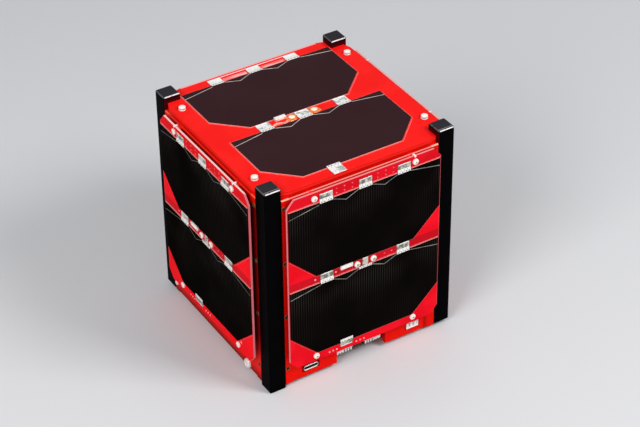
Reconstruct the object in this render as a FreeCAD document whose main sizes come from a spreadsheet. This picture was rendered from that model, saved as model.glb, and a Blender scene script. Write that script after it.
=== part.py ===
"""A one-unit cube satellite as an assembly of separate pieces, in millimetres.

The frame is +Z up, with the origin on the floor under the middle of the satellite. The front looks
along -Y and the left side along -X. Whatever sits on a side or on the top is drawn flat, with X to
the right, Y up the panel and Z outwards, and is then turned into its place.
"""
import FreeCAD, Part
import os
import re
import Sketcher
from FreeCAD import Placement, Rotation, Vector

# ---------------------------------------------------------------- sizes: alias, value, meaning
SIZES = [
    ("span", 100.0, "across the outer faces of opposite rails"),
    ("rail_side", 8.5, "side of a rail's square section"),
    ("rail_length", 113.5, "rail from end to end"),
    ("rail_edge", 0.5, "bevel along a rail's long edges"),
    ("rail_rim", 0.4, "bevel round a rail's end"),
    ("foot_cut", 2.0, "how much the two plunger rails are cut short"),
    ("flange_wide", 5.0, "rail flange that a side frame is screwed to"),
    ("flange_thick", 2.0, "thickness of that flange"),
    ("flange_gap", 0.4, "between the ends of a flange and the lugs"),
    ("plunger_radius", 2.5, "spring plunger in a shortened rail"),
    ("plunger_depth", 6.0, "how far the plunger reaches into its rail"),
    ("plunger_rim", 0.6, "bevel round the plunger's foot"),
    ("bore_gap", 0.1, "radial gap round pins and screws in their holes"),
    ("frame_recess", 0.2, "side frame behind the rails' outer faces"),
    ("frame_thick", 2.3, "thickness of a side frame"),
    ("frame_gap", 0.1, "gap between a side frame and a rail"),
    ("frame_edge", 0.5, "bevel along a side frame's upper outer edge"),
    ("top_stand", 6.5, "rail ends above the side frames"),
    ("low_stand", 2.0, "rail ends below the side frames"),
    ("relief_up", 0.5, "shallow relief in a frame's lower edge"),
    ("relief_end", 3.9, "foot left beside each end of that relief"),
    ("corner_hole_radius", 0.9, "holes in the frames beside the rails"),
    ("corner_hole_inset", 1.2, "from a frame's edge to those holes"),
    ("corner_hole_end", 11.15, "from a rail's ends to the nearest of those holes"),
    ("boss_radius", 2.1, "boss that carries a solar board"),
    ("boss_tall", 2.2, "gap behind a side's solar board"),
    ("lug_long", 6.0, "lug for an end screw, inwards from the frame"),
    ("lug_wide", 8.0, "lug along the frame"),
    ("lug_tall", 5.0, "height of an upper lug"),
    ("board_thick", 1.6, "thickness of the top board and of the port board"),
    ("side_board_thick", 1.0, "thickness of a side's solar board"),
    ("board_side_inset", 0.7, "solar board inside the frame's width, each side"),
    ("board_low", 12.2, "height of a side board's lower edge"),
    ("board_rise", 0.6, "side board's upper edge above the frame's"),
    ("board_corner_across", 3.7, "corner chamfer of a side board, across"),
    ("board_corner_up", 4.5, "corner chamfer of a side board, up"),
    ("cell_thick", 0.3, "solar cell with its glass and glue"),
    ("cell_corner_across", 14.0, "cropped corner of a cell, across"),
    ("cell_corner_up", 13.5, "cropped corner of a cell, up"),
    ("side_margin_top", 5.8, "side board's upper edge to the upper cell"),
    ("cell_clear", 0.2, "gap between the lower cell and the screws under it"),
    ("side_margin_across", 0.6, "side board's side edge to a cell"),
    ("side_cell_gap", 4.7, "gap between the two cells of a side"),
    ("top_margin_far", 6.6, "top board's back edge to the far cell"),
    ("top_margin_near", 6.3, "top board's front edge to the near cell"),
    ("top_margin_across", 9.4, "top board's side edge to a cell"),
    ("top_cell_gap", 5.9, "gap between the two cells of the top"),
    ("tab_wide", 6.8, "interconnect tab, along the cell's edge"),
    ("tab_pitch", 20.6, "from one tab to the next"),
    ("tab_reach", 4.2, "tab beyond the cell's edge"),
    ("low_tab_reach", 2.3, "tab beyond the lower cell's lower edge"),
    ("near_tab_end", 0.4, "top board's front edge to the tab before it"),
    ("tab_lap", 0.7, "tab over the cell"),
    ("low_tab_lap", 2.0, "last tab of a side over its cell"),
    ("near_tab_lap", 0.9, "last tab of the top over its cell"),
    ("low_tab_across", 10.3, "last tab, left of the middle"),
    ("tab_lip", 0.4, "wide part of the middle tab beyond the cell's edge"),
    ("mid_tab_stem", 3.0, "stem of the middle tab between two screws"),
    ("tab_over", 0.25, "tab's metal above the cell"),
    ("tab_gap", 0.1, "between a tab's foot and a cell's edge"),
    ("screw_radius", 1.5, "head of a side board's screw"),
    ("screw_tall", 1.1, "height of that head"),
    ("shank_radius", 0.8, "shank of that screw"),
    ("screw_beside_tab", 1.2, "gap between an outer tab and the outer screw beside it"),
    ("screw_inset", 3.0, "outer screws from the board's upper and lower edge"),
    ("mid_screw_across", 4.4, "middle screws of a side board from its middle"),
    ("top_mid_across", 6.0, "middle screws of the top board from its middle"),
    ("end_screw_radius", 1.7, "head of an end screw"),
    ("end_screw_tall", 1.9, "height of that head"),
    ("end_shank_radius", 1.0, "shank of an end screw"),
    ("end_shank_long", 3.5, "how far that shank reaches into its lug"),
    ("low_shank_long", 1.9, "how far a bottom screw reaches into its lug"),
    ("end_screw_in", 2.5, "end screws from the side frames' inner faces, X"),
    ("end_screw_clear", 8.5, "end screws from the rails' inner faces, Y"),
    ("plate_thick", 1.7, "thickness of an end plate"),
    ("plate_inset", 0.5, "top plate inside the rails' outer faces"),
    ("plate_gap", 0.3, "gap between an end plate and a rail or frame"),
    ("ease_along", 4.0, "eased corner of the top plate, along its edge"),
    ("ease_deep", 1.4, "eased corner of the top plate, depth"),
    ("floor_high", 3.5, "underside of the bottom plate"),
    ("notch_half", 13.5, "half width of the front notch"),
    ("notch_high", 9.6, "top of the notch above the frame's lower edge"),
    ("notch_deep", 8.0, "notch in the bottom plate, inwards"),
    ("port_clear", 0.1, "gap between the bottom plate and the taller port"),
    ("port_board_gap", 0.5, "gap between the port board and the rails' flanges"),
    ("usb_across", -27.8, "middle of the USB port"),
    ("usb_wide", 8.9, "USB shell, width"),
    ("usb_tall", 3.2, "USB shell, height"),
    ("usb_wall", 0.35, "USB shell, sheet thickness"),
    ("usb_long", 7.4, "USB shell, length"),
    ("usb_proud", 0.2, "USB shell in front of the frame"),
    ("plug_across", 28.8, "middle of the four-way connector"),
    ("plug_wide", 7.4, "four-way connector, width"),
    ("plug_tall", 3.3, "four-way connector, height"),
    ("plug_wall", 0.5, "four-way connector, wall"),
    ("plug_long", 6.0, "four-way connector, length"),
    ("port_gap", 0.25, "frame's slot round a port"),
    ("header_wide", 9.0, "umbilical header, width"),
    ("header_tall", 3.0, "umbilical header, height"),
    ("header_long", 4.6, "umbilical header, length"),
    ("header_left_gap", 0.2, "notch's left edge to the left header"),
    ("header_right_gap", 2.3, "notch's right edge to the right header"),
    ("header_recess", 0.6, "headers behind the frame's face"),
    ("stack_gap", 0.5, "gap between the equipment stack and the rails"),
    ("stack_head", 12.8, "equipment stack's top below the frames' upper edge"),
    ("stud_radius", 2.65, "large stud low on the left side"),
    ("stud_tall", 1.6, "height of that stud"),
    ("stud_inset", 11.4, "large stud from the frame's right edge"),
    ("stud_high", 4.8, "height of its centre"),
    ("small_stud_radius", 1.3, "small stud low on the left side"),
    ("small_stud_inset", 2.2, "small stud from the frame's left edge"),
    ("small_stud_high", 7.2, "height of its centre"),
    ("small_stud_tall", 1.2, "height of that stud"),
]

doc = FreeCAD.newDocument("cube_satellite")
sheet = doc.addObject("Spreadsheet::Sheet", "Sizes")
for row, (alias, value, meaning) in enumerate(SIZES, start=1):
    sheet.set(f"A{row}", meaning)
    sheet.set(f"B{row}", str(value))
    sheet.setAlias(f"B{row}", alias)
doc.recompute()


def of(words):
    """An expression on the sheet: every alias in words gets the sheet's name before it."""
    aliases = {alias for alias, value, meaning in SIZES}
    return re.sub("[a-z_]+", lambda word: f"Sizes.{word[0]}" if word[0] in aliases else word[0], words)


# ---------------------------------------------------------------- places worked out from the sizes
RAIL_IN = "(span / 2 - rail_side)"
FRAME_OUT = "(span / 2 - frame_recess)"
FRAME_IN = f"({FRAME_OUT} - frame_thick)"
FRAME_HALF = f"({RAIL_IN} - frame_gap)"
FRAME_TOP = "(rail_length - top_stand)"
BOARD_IN = f"({FRAME_OUT} + boss_tall)"
BOARD_HALF = f"({FRAME_HALF} - board_side_inset)"
BOARD_TALL = f"({FRAME_TOP} + board_rise - board_low)"
BOARD_MID = f"(board_low + {BOARD_TALL} / 2)"
DECK = f"({FRAME_TOP} + plate_thick)"
PLATE_HALF = "(span / 2 - plate_inset)"
LUG_LOW = "(floor_high + plate_thick)"
PORT_HIGH = f"({LUG_LOW} + port_clear + max(usb_tall; plug_tall))"
PORT_HALF = f"({FRAME_IN} - flange_thick - port_board_gap)"
STACK_HALF = f"({RAIL_IN} - stack_gap)"
STACK_LOW = f"({PORT_HIGH} + board_thick)"
END_SCREW_X = f"({FRAME_IN} - end_screw_in)"
END_SCREW_Y = f"({RAIL_IN} - end_screw_clear)"
SCREW_ACROSS = "(tab_pitch + tab_wide / 2 + screw_beside_tab + screw_radius)"
SIDE_MARGIN_LOW = "(screw_inset + screw_radius + cell_clear)"
SIDE_CELL_TALL = f"(({BOARD_TALL} - side_margin_top - {SIDE_MARGIN_LOW} - side_cell_gap) / 2)"
TOP_CELL_TALL = f"(({PLATE_HALF} * 2 - top_margin_far - top_margin_near - top_cell_gap) / 2)"
PORT_MID = f"({PORT_HIGH} - usb_tall / 2)"
PLUG_MID = f"({PORT_HIGH} - plug_tall / 2)"

# sides: name, turn about Z, direction outwards
SIDES = [
    ("front", 0, (0, -1)),
    ("right", 90, (1, 0)),
    ("back", 180, (0, 1)),
    ("left", 270, (-1, 0)),
]

# a board with its cells: edges of the board, of the two cells and places of the screws
SIDE_PANEL = {
    "cell_half": f"({BOARD_HALF} - side_margin_across)",
    "upper_top": f"({BOARD_TALL} / 2 - side_margin_top)",
    "cell_tall": SIDE_CELL_TALL,
    "gap": "side_cell_gap",
    "low_reach": "low_tab_reach",
    "low_lap": "low_tab_lap",
    "mid_stem": "mid_tab_stem",
    "thick": "side_board_thick",
}
TOP_PANEL = {
    "cell_half": f"({PLATE_HALF} - top_margin_across)",
    "upper_top": f"({PLATE_HALF} - top_margin_far)",
    "cell_tall": TOP_CELL_TALL,
    "gap": "top_cell_gap",
    "low_reach": "(top_margin_near - near_tab_end)",
    "low_lap": "near_tab_lap",
    "mid_stem": "tab_wide",
    "thick": "board_thick",
}
for panel in (SIDE_PANEL, TOP_PANEL):
    panel["upper_low"] = f"({panel['upper_top']} - {panel['cell_tall']})"
    panel["lower_top"] = f"({panel['upper_low']} - {panel['gap']})"
    panel["lower_low"] = f"({panel['lower_top']} - {panel['cell_tall']})"
    panel["gap_mid"] = f"({panel['upper_low']} - {panel['gap']} / 2)"


# ---------------------------------------------------------------- drawing helpers
def new_body(name):
    body = doc.addObject("PartDesign::Body", name)
    body.Label = name
    return body


def new_sketch(body, name, height="0"):
    """A sketch on the body's own XY plane, lifted to a height."""
    sketch = body.newObject("Sketcher::SketchObject", name)
    plane = next(item for item in body.Origin.OriginFeatures if item.Role == "XY_Plane")
    sketch.AttachmentSupport = [(plane, "")]
    sketch.MapMode = "FlatFace"
    sketch.setExpression("AttachmentOffset.Base.z", of(height))
    return sketch


def draw_outline(sketch, corners):
    """A closed outline whose corners' places are expressions on the sheet."""
    first = sketch.GeometryCount
    points = []
    for across, up in corners:
        points.append(Vector(sketch.evalExpression(of(across)), sketch.evalExpression(of(up)), 0))
    count = len(points)
    for index in range(count):
        sketch.addGeometry(Part.LineSegment(points[index], points[(index + 1) % count]), False)
    for index in range(count):
        following = first + (index + 1) % count
        sketch.addConstraint(Sketcher.Constraint("Coincident", first + index, 2, following, 1))
    for index, (across, up) in enumerate(corners):
        place_point(sketch, first + index, 1, points[index], across, up)


def place_point(sketch, edge, end, point, across, up):
    """Tie one point of a sketch to its two expressions."""
    for kind, value, words in (("DistanceX", point.x, across), ("DistanceY", point.y, up)):
        tie = sketch.addConstraint(Sketcher.Constraint(kind, -1, 1, edge, end, value))
        sketch.setExpression(f"Constraints[{tie}]", of(words))


def draw_rectangle(sketch, left, low, right, high):
    draw_outline(sketch, [(left, low), (right, low), (right, high), (left, high)])


def draw_circle(sketch, across, up, radius):
    centre = Vector(sketch.evalExpression(of(across)), sketch.evalExpression(of(up)), 0)
    size = sketch.evalExpression(of(radius))
    edge = sketch.addGeometry(Part.Circle(centre, Vector(0, 0, 1), size), False)
    place_point(sketch, edge, 3, centre, across, up)
    tie = sketch.addConstraint(Sketcher.Constraint("Radius", edge, size))
    sketch.setExpression(f"Constraints[{tie}]", of(radius))


def pad(body, name, sketch, length):
    feature = body.newObject("PartDesign::Pad", name)
    feature.Profile = sketch
    feature.setExpression("Length", of(length))
    sketch.Visibility = False
    doc.recompute()
    return feature


def cut(body, name, sketch, depth, along_normal=True):
    """A pocket along the normal of its sketch, or against it, that has to take something away."""
    before = body.Shape.Volume
    feature = body.newObject("PartDesign::Pocket", name)
    feature.Profile = sketch
    feature.setExpression("Length", of(depth))
    feature.Reversed = along_normal
    sketch.Visibility = False
    doc.recompute()
    assert body.Shape.Volume < before, f"{body.Label}: {name} cuts nothing"
    return feature


def bevel(body, name, feature, size, wanted):
    """Chamfer the edges of the last feature for which wanted(edge) is true."""
    edges = [f"Edge{n}" for n, edge in enumerate(feature.Shape.Edges, start=1) if wanted(edge)]
    chamfer = body.newObject("PartDesign::Chamfer", name)
    chamfer.Base = (feature, edges)
    chamfer.setExpression("Size", of(size))
    doc.recompute()
    return chamfer


def soften(body, name, feature, radius, wanted):
    """Round the edges of the last feature for which wanted(edge) is true."""
    edges = [f"Edge{n}" for n, edge in enumerate(feature.Shape.Edges, start=1) if wanted(edge)]
    fillet = body.newObject("PartDesign::Fillet", name)
    fillet.Base = (feature, edges)
    fillet.setExpression("Radius", of(radius))
    doc.recompute()
    return fillet


def lies_at(height):
    """A test for edges that lie flat at one height."""
    return lambda edge: abs(edge.BoundBox.ZMin - height) < 1e-4 and abs(edge.BoundBox.ZMax - height) < 1e-4


def value_of(words):
    return float(sheet.evalExpression(of(words)))


def put(thing, rotation, across="0", along="0", up="0"):
    """Turn a piece and tie its place to the sheet."""
    thing.Placement = Placement(Vector(0, 0, 0), rotation)
    for axis, words in (("x", across), ("y", along), ("z", up)):
        thing.setExpression(f".Placement.Base.{axis}", of(words))


def put_on_side(thing, side, distance, up):
    """Stand a flat piece up on one side, its Z outwards, at a distance from the middle."""
    name, turn, (x, y) = side
    upright = Rotation(Vector(0, 0, 1), turn) * Rotation(Vector(1, 0, 0), 90)
    put(thing, upright, f"{distance} * ({x})", f"{distance} * ({y})", up)


# ---------------------------------------------------------------- rails and their plungers
# rails: name, corner in X, corner in Y, turn about Z, has a plunger
RAILS = [
    ("rail_front_left", -1, -1, 0, False),
    ("rail_front_right", 1, -1, 90, True),
    ("rail_back_right", 1, 1, 180, False),
    ("rail_back_left", -1, 1, 270, True),
]


def make_rail(name, corner_x, corner_y, turn, has_plunger):
    """A square rail, drawn from its outer corner inwards, with a flange behind each side frame."""
    foot = "foot_cut" if has_plunger else "0"
    body = new_body(name)
    square = new_sketch(body, f"{name}_section", foot)
    draw_outline(square, [
        ("rail_edge", "0"), ("rail_side - rail_edge", "0"), ("rail_side", "rail_edge"),
        ("rail_side", "rail_side"), ("rail_edge", "rail_side"), ("0", "rail_side - rail_edge"),
        ("0", "rail_edge"),
    ])
    bar = pad(body, f"{name}_bar", square, f"rail_length - {foot}")
    ends = (value_of(foot), value_of("rail_length"))
    bar = bevel(body, f"{name}_rims", bar, "rail_rim",
                lambda edge: any(lies_at(height)(edge) for height in ends))

    low = f"({PORT_HIGH} + flange_gap)"
    flanges = new_sketch(body, f"{name}_flange_section", low)
    outer = "(frame_recess + frame_thick)"
    draw_rectangle(flanges, "rail_side", outer, "rail_side + flange_wide", f"{outer} + flange_thick")
    draw_rectangle(flanges, outer, "rail_side", f"{outer} + flange_thick", "rail_side + flange_wide")
    pad(body, f"{name}_flanges", flanges, f"{FRAME_TOP} - lug_tall - flange_gap - {low}")

    if has_plunger:
        bore = new_sketch(body, f"{name}_bore_section", foot)
        draw_circle(bore, "rail_side / 2", "rail_side / 2", "plunger_radius + bore_gap")
        cut(body, f"{name}_bore", bore, "plunger_depth")
    put(body, Rotation(Vector(0, 0, 1), turn), f"span / 2 * ({corner_x})", f"span / 2 * ({corner_y})")
    return body


def make_plunger(name, corner_x, corner_y):
    """A round spring plunger: its foot on the floor, its top at the end of the rail's bore."""
    body = new_body(name)
    section = new_sketch(body, f"{name}_section")
    draw_circle(section, "0", "0", "plunger_radius")
    pin = pad(body, f"{name}_pin", section, "foot_cut + plunger_depth")
    bevel(body, f"{name}_foot", pin, "plunger_rim", lies_at(0))
    middle = "(span / 2 - rail_side / 2)"
    put(body, Rotation(), f"{middle} * ({corner_x})", f"{middle} * ({corner_y})")
    return body


# ---------------------------------------------------------------- side frames
def frame_outline(name):
    """Outline of a side frame; the front one has the notch in its lower edge."""
    foot = f"({FRAME_HALF} - relief_end)"
    low = "low_stand"
    relief = "(low_stand + relief_up)"
    corners = [(f"-{FRAME_HALF}", low), (f"-{foot}", low), (f"-{foot}", relief)]
    if name == "front":
        roof = "(low_stand + notch_high)"
        corners += [("-notch_half", relief), ("-notch_half", roof), ("notch_half", roof),
                    ("notch_half", relief)]
    corners += [(foot, relief), (foot, low), (FRAME_HALF, low), (FRAME_HALF, FRAME_TOP),
                (f"-{FRAME_HALF}", FRAME_TOP)]
    return corners


def board_screws():
    """Screws of a side board: across, up from the board's middle."""
    high = f"({BOARD_TALL} / 2 - screw_inset)"
    mid = SIDE_PANEL["gap_mid"]
    return [(f"-{SCREW_ACROSS}", high), (SCREW_ACROSS, high),
            ("-mid_screw_across", mid), ("mid_screw_across", mid),
            (f"-{SCREW_ACROSS}", f"-{high}"), (SCREW_ACROSS, f"-{high}")]


def make_side_frame(side):
    """A red shear plate between two rails, with bosses for its solar board."""
    name = side[0]
    body = new_body(f"side_frame_{name}")
    outline = new_sketch(body, f"frame_{name}_outline")
    draw_outline(outline, frame_outline(name))
    plate = pad(body, f"frame_{name}_plate", outline, "frame_thick")
    top, face = value_of(FRAME_TOP), value_of("frame_thick")
    bevel(body, f"frame_{name}_upper_edge", plate, "frame_edge",
          lambda edge: edge.BoundBox.YMin > top - 1e-4 and edge.BoundBox.ZMin > face - 1e-4)

    bosses = new_sketch(body, f"frame_{name}_boss_outline")
    for across, up in board_screws():
        draw_circle(bosses, across, f"{BOARD_MID} + {up}", "boss_radius")
    pad(body, f"frame_{name}_bosses", bosses, "frame_thick + boss_tall")

    if name in ("left", "right"):
        lugs = new_sketch(body, f"frame_{name}_lug_outline", "-lug_long")
        for hand in (-1, 1):
            inner = f"({hand} * {END_SCREW_Y} - lug_wide / 2)"
            outer = f"({hand} * {END_SCREW_Y} + lug_wide / 2)"
            draw_rectangle(lugs, inner, f"{FRAME_TOP} - lug_tall", outer, FRAME_TOP)
            draw_rectangle(lugs, inner, LUG_LOW, outer, PORT_HIGH)
        pad(body, f"frame_{name}_lugs", lugs, "lug_long")

    holes = new_sketch(body, f"frame_{name}_hole_outline")
    for across, up in board_screws():
        draw_circle(holes, across, f"{BOARD_MID} + {up}", "shank_radius + bore_gap")
    pitch = "((rail_length - 2 * corner_hole_end) / 3)"
    for hand in (-1, 1):
        for step in range(4):
            draw_circle(holes, f"({FRAME_HALF} - corner_hole_inset) * ({hand})",
                        f"corner_hole_end + {step} * {pitch}", "corner_hole_radius")
    cut(body, f"frame_{name}_holes", holes, "frame_thick + boss_tall")

    if name == "front":
        slots = new_sketch(body, "frame_front_slot_outline")
        for middle, wide, tall, up in (("usb_across", "usb_wide", "usb_tall", PORT_MID),
                                       ("plug_across", "plug_wide", "plug_tall", PLUG_MID)):
            draw_rectangle(slots, f"{middle} - {wide} / 2 - port_gap", f"{up} - {tall} / 2 - port_gap",
                           f"{middle} + {wide} / 2 + port_gap", f"{up} + {tall} / 2 + port_gap")
        cut(body, "frame_front_slots", slots, "frame_thick")

    if name in ("left", "right"):
        cut_lug_holes(body, name)
    put_on_side(body, side, FRAME_IN, "0")
    return body


def cut_lug_holes(body, name):
    """Upright holes in the lugs, for the screws of the two end plates."""
    plane = next(item for item in body.Origin.OriginFeatures if item.Role == "XZ_Plane")
    # the plane looks along -Y, so a pocket with a height below zero starts at that height up
    for end, start, depth in (("top", FRAME_TOP, "end_shank_long"),
                              ("low", LUG_LOW, f"{PORT_HIGH} - {LUG_LOW}")):
        holes = body.newObject("Sketcher::SketchObject", f"frame_{name}_{end}_holes")
        holes.AttachmentSupport = [(plane, "")]
        holes.MapMode = "FlatFace"
        holes.setExpression("AttachmentOffset.Base.z", of(f"-1 * {start}"))
        for hand in (-1, 1):
            draw_circle(holes, f"{hand} * {END_SCREW_Y}", f"{END_SCREW_X} - {FRAME_IN}",
                        "end_shank_radius + bore_gap")
        cut(body, f"frame_{name}_{end}_bores", holes, depth, along_normal=(end == "top"))


# ---------------------------------------------------------------- solar boards, cells, tabs, screws
def chamfered(half, tall_half, across, up):
    """Corners of a rectangle about the middle with its four corners chamfered."""
    return [(f"-({half} - {across})", f"-{tall_half}"), (f"({half} - {across})", f"-{tall_half}"),
            (half, f"-({tall_half} - {up})"), (half, f"({tall_half} - {up})"),
            (f"({half} - {across})", tall_half), (f"-({half} - {across})", tall_half),
            (f"-{half}", f"({tall_half} - {up})"), (f"-{half}", f"-({tall_half} - {up})")]


def plate_corners(half, hole, along, deep):
    """Outline of an end plate: a square with its corners cut out round the rails.

    The edge beside each cut-out is eased back by deep over a length of along.
    """
    quarter = [(hole, f"({half} - {deep})"), (hole, hole), (f"({half} - {deep})", hole)]
    before = (f"({hole} - {along})", half)
    after = (half, f"({hole} - {along})")
    corners = []
    for turn in range(4):
        for x, y in [before] + quarter + [after]:
            corners.append([(x, y), (y, f"-{x}"), (f"-{x}", f"-{y}"), (f"-{y}", x)][turn])
    return corners


def make_solar_board(side):
    name = side[0]
    body = new_body(f"solar_board_{name}")
    outline = new_sketch(body, f"board_{name}_outline")
    draw_outline(outline, chamfered(BOARD_HALF, f"({BOARD_TALL} / 2)",
                                    "board_corner_across", "board_corner_up"))
    pad(body, f"board_{name}_sheet", outline, "side_board_thick")
    holes = new_sketch(body, f"board_{name}_hole_outline")
    for across, up in board_screws():
        draw_circle(holes, across, up, "shank_radius + bore_gap")
    cut(body, f"board_{name}_holes", holes, "side_board_thick")
    put_on_side(body, side, BOARD_IN, BOARD_MID)
    return body


def cell_corners(panel, low, top):
    """A cell's outline: two of its corners are cropped, on its lower side."""
    half = panel["cell_half"]
    shoulder = f"({low} + cell_corner_up)"
    inner = f"({half} - cell_corner_across)"
    return [(f"-{inner}", low), (inner, low), (half, shoulder), (half, top), (f"-{half}", top),
            (f"-{half}", shoulder)]


def make_cells(name, panel):
    """The two cells of a panel, lying on its board."""
    body = new_body(f"solar_cells_{name}")
    outline = new_sketch(body, f"cells_{name}_outline", panel["thick"])
    draw_outline(outline, cell_corners(panel, panel["lower_low"], panel["lower_top"]))
    draw_outline(outline, cell_corners(panel, panel["upper_low"], panel["upper_top"]))
    pad(body, f"cells_{name}_sheets", outline, "cell_thick")
    return body


def tab_outline(across, start, root, tip, stem):
    """A tab from start over the cell to its tip; past root it narrows to a stem, if it has one."""
    left, right = f"({across} - tab_wide / 2)", f"({across} + tab_wide / 2)"
    if stem == "tab_wide":
        return [(left, start), (right, start), (right, tip), (left, tip)]
    thin_left, thin_right = f"({across} - {stem} / 2)", f"({across} + {stem} / 2)"
    return [(left, start), (right, start), (right, root), (thin_right, root), (thin_right, tip),
            (thin_left, tip), (thin_left, root), (left, root)]


def make_tabs(name, panel):
    """Interconnect tabs: each stands on the board and laps over a cell's edge."""
    # rows: across, the cell's edge, way out from the cell, reach from that edge, lap over the cell, stem
    gap_reach = f"({panel['gap']} - tab_gap)"
    rows = []
    for step in (-1, 0, 1):
        rows.append((f"{step} * tab_pitch", panel["upper_top"], 1, "tab_reach", "tab_lap", "tab_wide"))
    for step in (-1, 0, 1):
        stem = panel["mid_stem"] if step == 0 else "tab_wide"
        rows.append((f"{step} * tab_pitch", panel["lower_top"], 1, gap_reach, "tab_lap", stem))
    rows.append(("-low_tab_across", panel["lower_low"], -1, panel["low_reach"], panel["low_lap"],
                 "tab_wide"))

    body = new_body(f"cell_tabs_{name}")
    feet = new_sketch(body, f"tabs_{name}_feet", panel["thick"])
    lids = new_sketch(body, f"tabs_{name}_lids", f"{panel['thick']} + cell_thick")
    for across, edge, way, reach, lap, stem in rows:
        foot = f"({edge} + ({way}) * tab_gap)"
        tip = f"({edge} + ({way}) * {reach})"
        start = f"({edge} - ({way}) * {lap})"
        draw_outline(lids, tab_outline(across, start, f"({edge} + tab_lip)", tip, stem))
        draw_rectangle(feet, f"({across} - {stem} / 2)", foot, f"({across} + {stem} / 2)", tip)
    pad(body, f"tabs_{name}_foot_pads", feet, "cell_thick + tab_over")
    pad(body, f"tabs_{name}_lid_pads", lids, "tab_over")
    return body


def make_screws(name, places, head_radius, head_tall, shank_radius, reach):
    """Pan-head screws at a list of places, heads at zero height, shanks reaching down."""
    body = new_body(f"screws_{name}")
    heads = new_sketch(body, f"screws_{name}_heads")
    shanks = new_sketch(body, f"screws_{name}_shanks", f"-({reach})")
    for across, up in places:
        draw_circle(heads, across, up, head_radius)
        draw_circle(shanks, across, up, shank_radius)
    head = pad(body, f"screws_{name}_head_pads", heads, head_tall)
    head = soften(body, f"screws_{name}_domes", head, f"({head_tall}) / 2",
                  lies_at(value_of(head_tall)))
    pad(body, f"screws_{name}_shank_pads", shanks, reach)
    return body


# ---------------------------------------------------------------- end plates
def end_screws():
    """The four screws of an end plate: X, Y."""
    return [(f"{x} * {END_SCREW_X}", f"{y} * {END_SCREW_Y}") for x in (-1, 1) for y in (-1, 1)]


def make_end_sheet(name, label, thickness, height):
    """The top plate and the top board share an outline and their screw holes."""
    body = new_body(label)
    outline = new_sketch(body, f"{name}_outline")
    draw_outline(outline, plate_corners(PLATE_HALF, f"({RAIL_IN} - plate_gap)", "ease_along",
                                        "ease_deep"))
    pad(body, f"{name}_sheet", outline, thickness)
    holes = new_sketch(body, f"{name}_hole_outline")
    for x, y in end_screws():
        draw_circle(holes, x, y, "end_shank_radius + bore_gap")
    for hand in (-1, 1):
        draw_circle(holes, f"{hand} * top_mid_across", TOP_PANEL["gap_mid"], "shank_radius + bore_gap")
    cut(body, f"{name}_holes", holes, thickness)
    put(body, Rotation(), up=height)
    return body


def make_bottom_plate():
    """The bottom plate lies inside the side frames and leaves the notch at the front free."""
    half = f"({FRAME_IN} - plate_gap)"
    hole = f"({RAIL_IN} - plate_gap)"
    inner = f"({half} - notch_deep)"
    corners = [(hole, f"-{half}"), (hole, f"-{hole}"), (half, f"-{hole}"), (half, hole), (hole, hole),
               (hole, half), (f"-{hole}", half), (f"-{hole}", hole), (f"-{half}", hole),
               (f"-{half}", f"-{hole}"), (f"-{hole}", f"-{hole}"), (f"-{hole}", f"-{half}"),
               ("-notch_half", f"-{half}"), ("-notch_half", f"-{inner}"), ("notch_half", f"-{inner}"),
               ("notch_half", f"-{half}")]
    body = new_body("bottom_plate")
    outline = new_sketch(body, "bottom_outline")
    draw_outline(outline, corners)
    pad(body, "bottom_sheet", outline, "plate_thick")
    holes = new_sketch(body, "bottom_hole_outline")
    for x, y in end_screws():
        draw_circle(holes, x, y, "end_shank_radius + bore_gap")
    cut(body, "bottom_holes", holes, "plate_thick")
    put(body, Rotation(), up="floor_high")
    return body


# ---------------------------------------------------------------- port board and ports
def make_port_board():
    """A circuit board on the lower lugs, its corners cut out round the rails' flanges."""
    corner = f"({RAIL_IN} - plate_gap)"
    half = PORT_HALF
    body = new_body("port_board")
    outline = new_sketch(body, "port_board_outline")
    draw_outline(outline, [
        (corner, f"-{half}"), (corner, f"-{corner}"), (half, f"-{corner}"), (half, corner),
        (corner, corner), (corner, half), (f"-{corner}", half), (f"-{corner}", corner),
        (f"-{half}", corner), (f"-{half}", f"-{corner}"), (f"-{corner}", f"-{corner}"),
        (f"-{corner}", f"-{half}"),
    ])
    pad(body, "port_board_sheet", outline, "board_thick")
    put(body, Rotation(), up=PORT_HIGH)
    return body


def slot_outline(sketch, wide, tall):
    """A slot with round ends about the middle, drawn with two lines and two arcs."""
    reach = f"({wide} / 2 - {tall} / 2)"
    run = sketch.evalExpression(of(reach))
    radius = sketch.evalExpression(of(f"{tall} / 2"))
    first = sketch.GeometryCount
    turn = Vector(0, 0, 1)
    right = Part.Circle(Vector(run, 0, 0), turn, radius)
    left = Part.Circle(Vector(-run, 0, 0), turn, radius)
    quarter = 1.5707963267948966
    sketch.addGeometry(Part.LineSegment(Vector(-run, -radius, 0), Vector(run, -radius, 0)), False)
    sketch.addGeometry(Part.ArcOfCircle(right, -quarter, quarter), False)
    sketch.addGeometry(Part.LineSegment(Vector(run, radius, 0), Vector(-run, radius, 0)), False)
    sketch.addGeometry(Part.ArcOfCircle(left, quarter, 3 * quarter), False)
    for index, end, following, start in ((0, 2, 1, 1), (1, 2, 2, 1), (2, 2, 3, 1), (3, 2, 0, 1)):
        sketch.addConstraint(Sketcher.Constraint("Coincident", first + index, end,
                                                 first + following, start))
    low, high = f"-{tall} / 2", f"{tall} / 2"
    place_point(sketch, first, 1, Vector(-run, -radius, 0), f"-{reach}", low)
    place_point(sketch, first, 2, Vector(run, -radius, 0), reach, low)
    place_point(sketch, first + 2, 1, Vector(run, radius, 0), reach, high)
    place_point(sketch, first + 2, 2, Vector(-run, radius, 0), f"-{reach}", high)
    for arc, words in ((first + 1, reach), (first + 3, f"-{reach}")):
        tie = sketch.addConstraint(Sketcher.Constraint(
            "DistanceX", -1, 1, arc, 3, sketch.evalExpression(of(words))))
        sketch.setExpression(f"Constraints[{tie}]", of(words))


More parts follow.
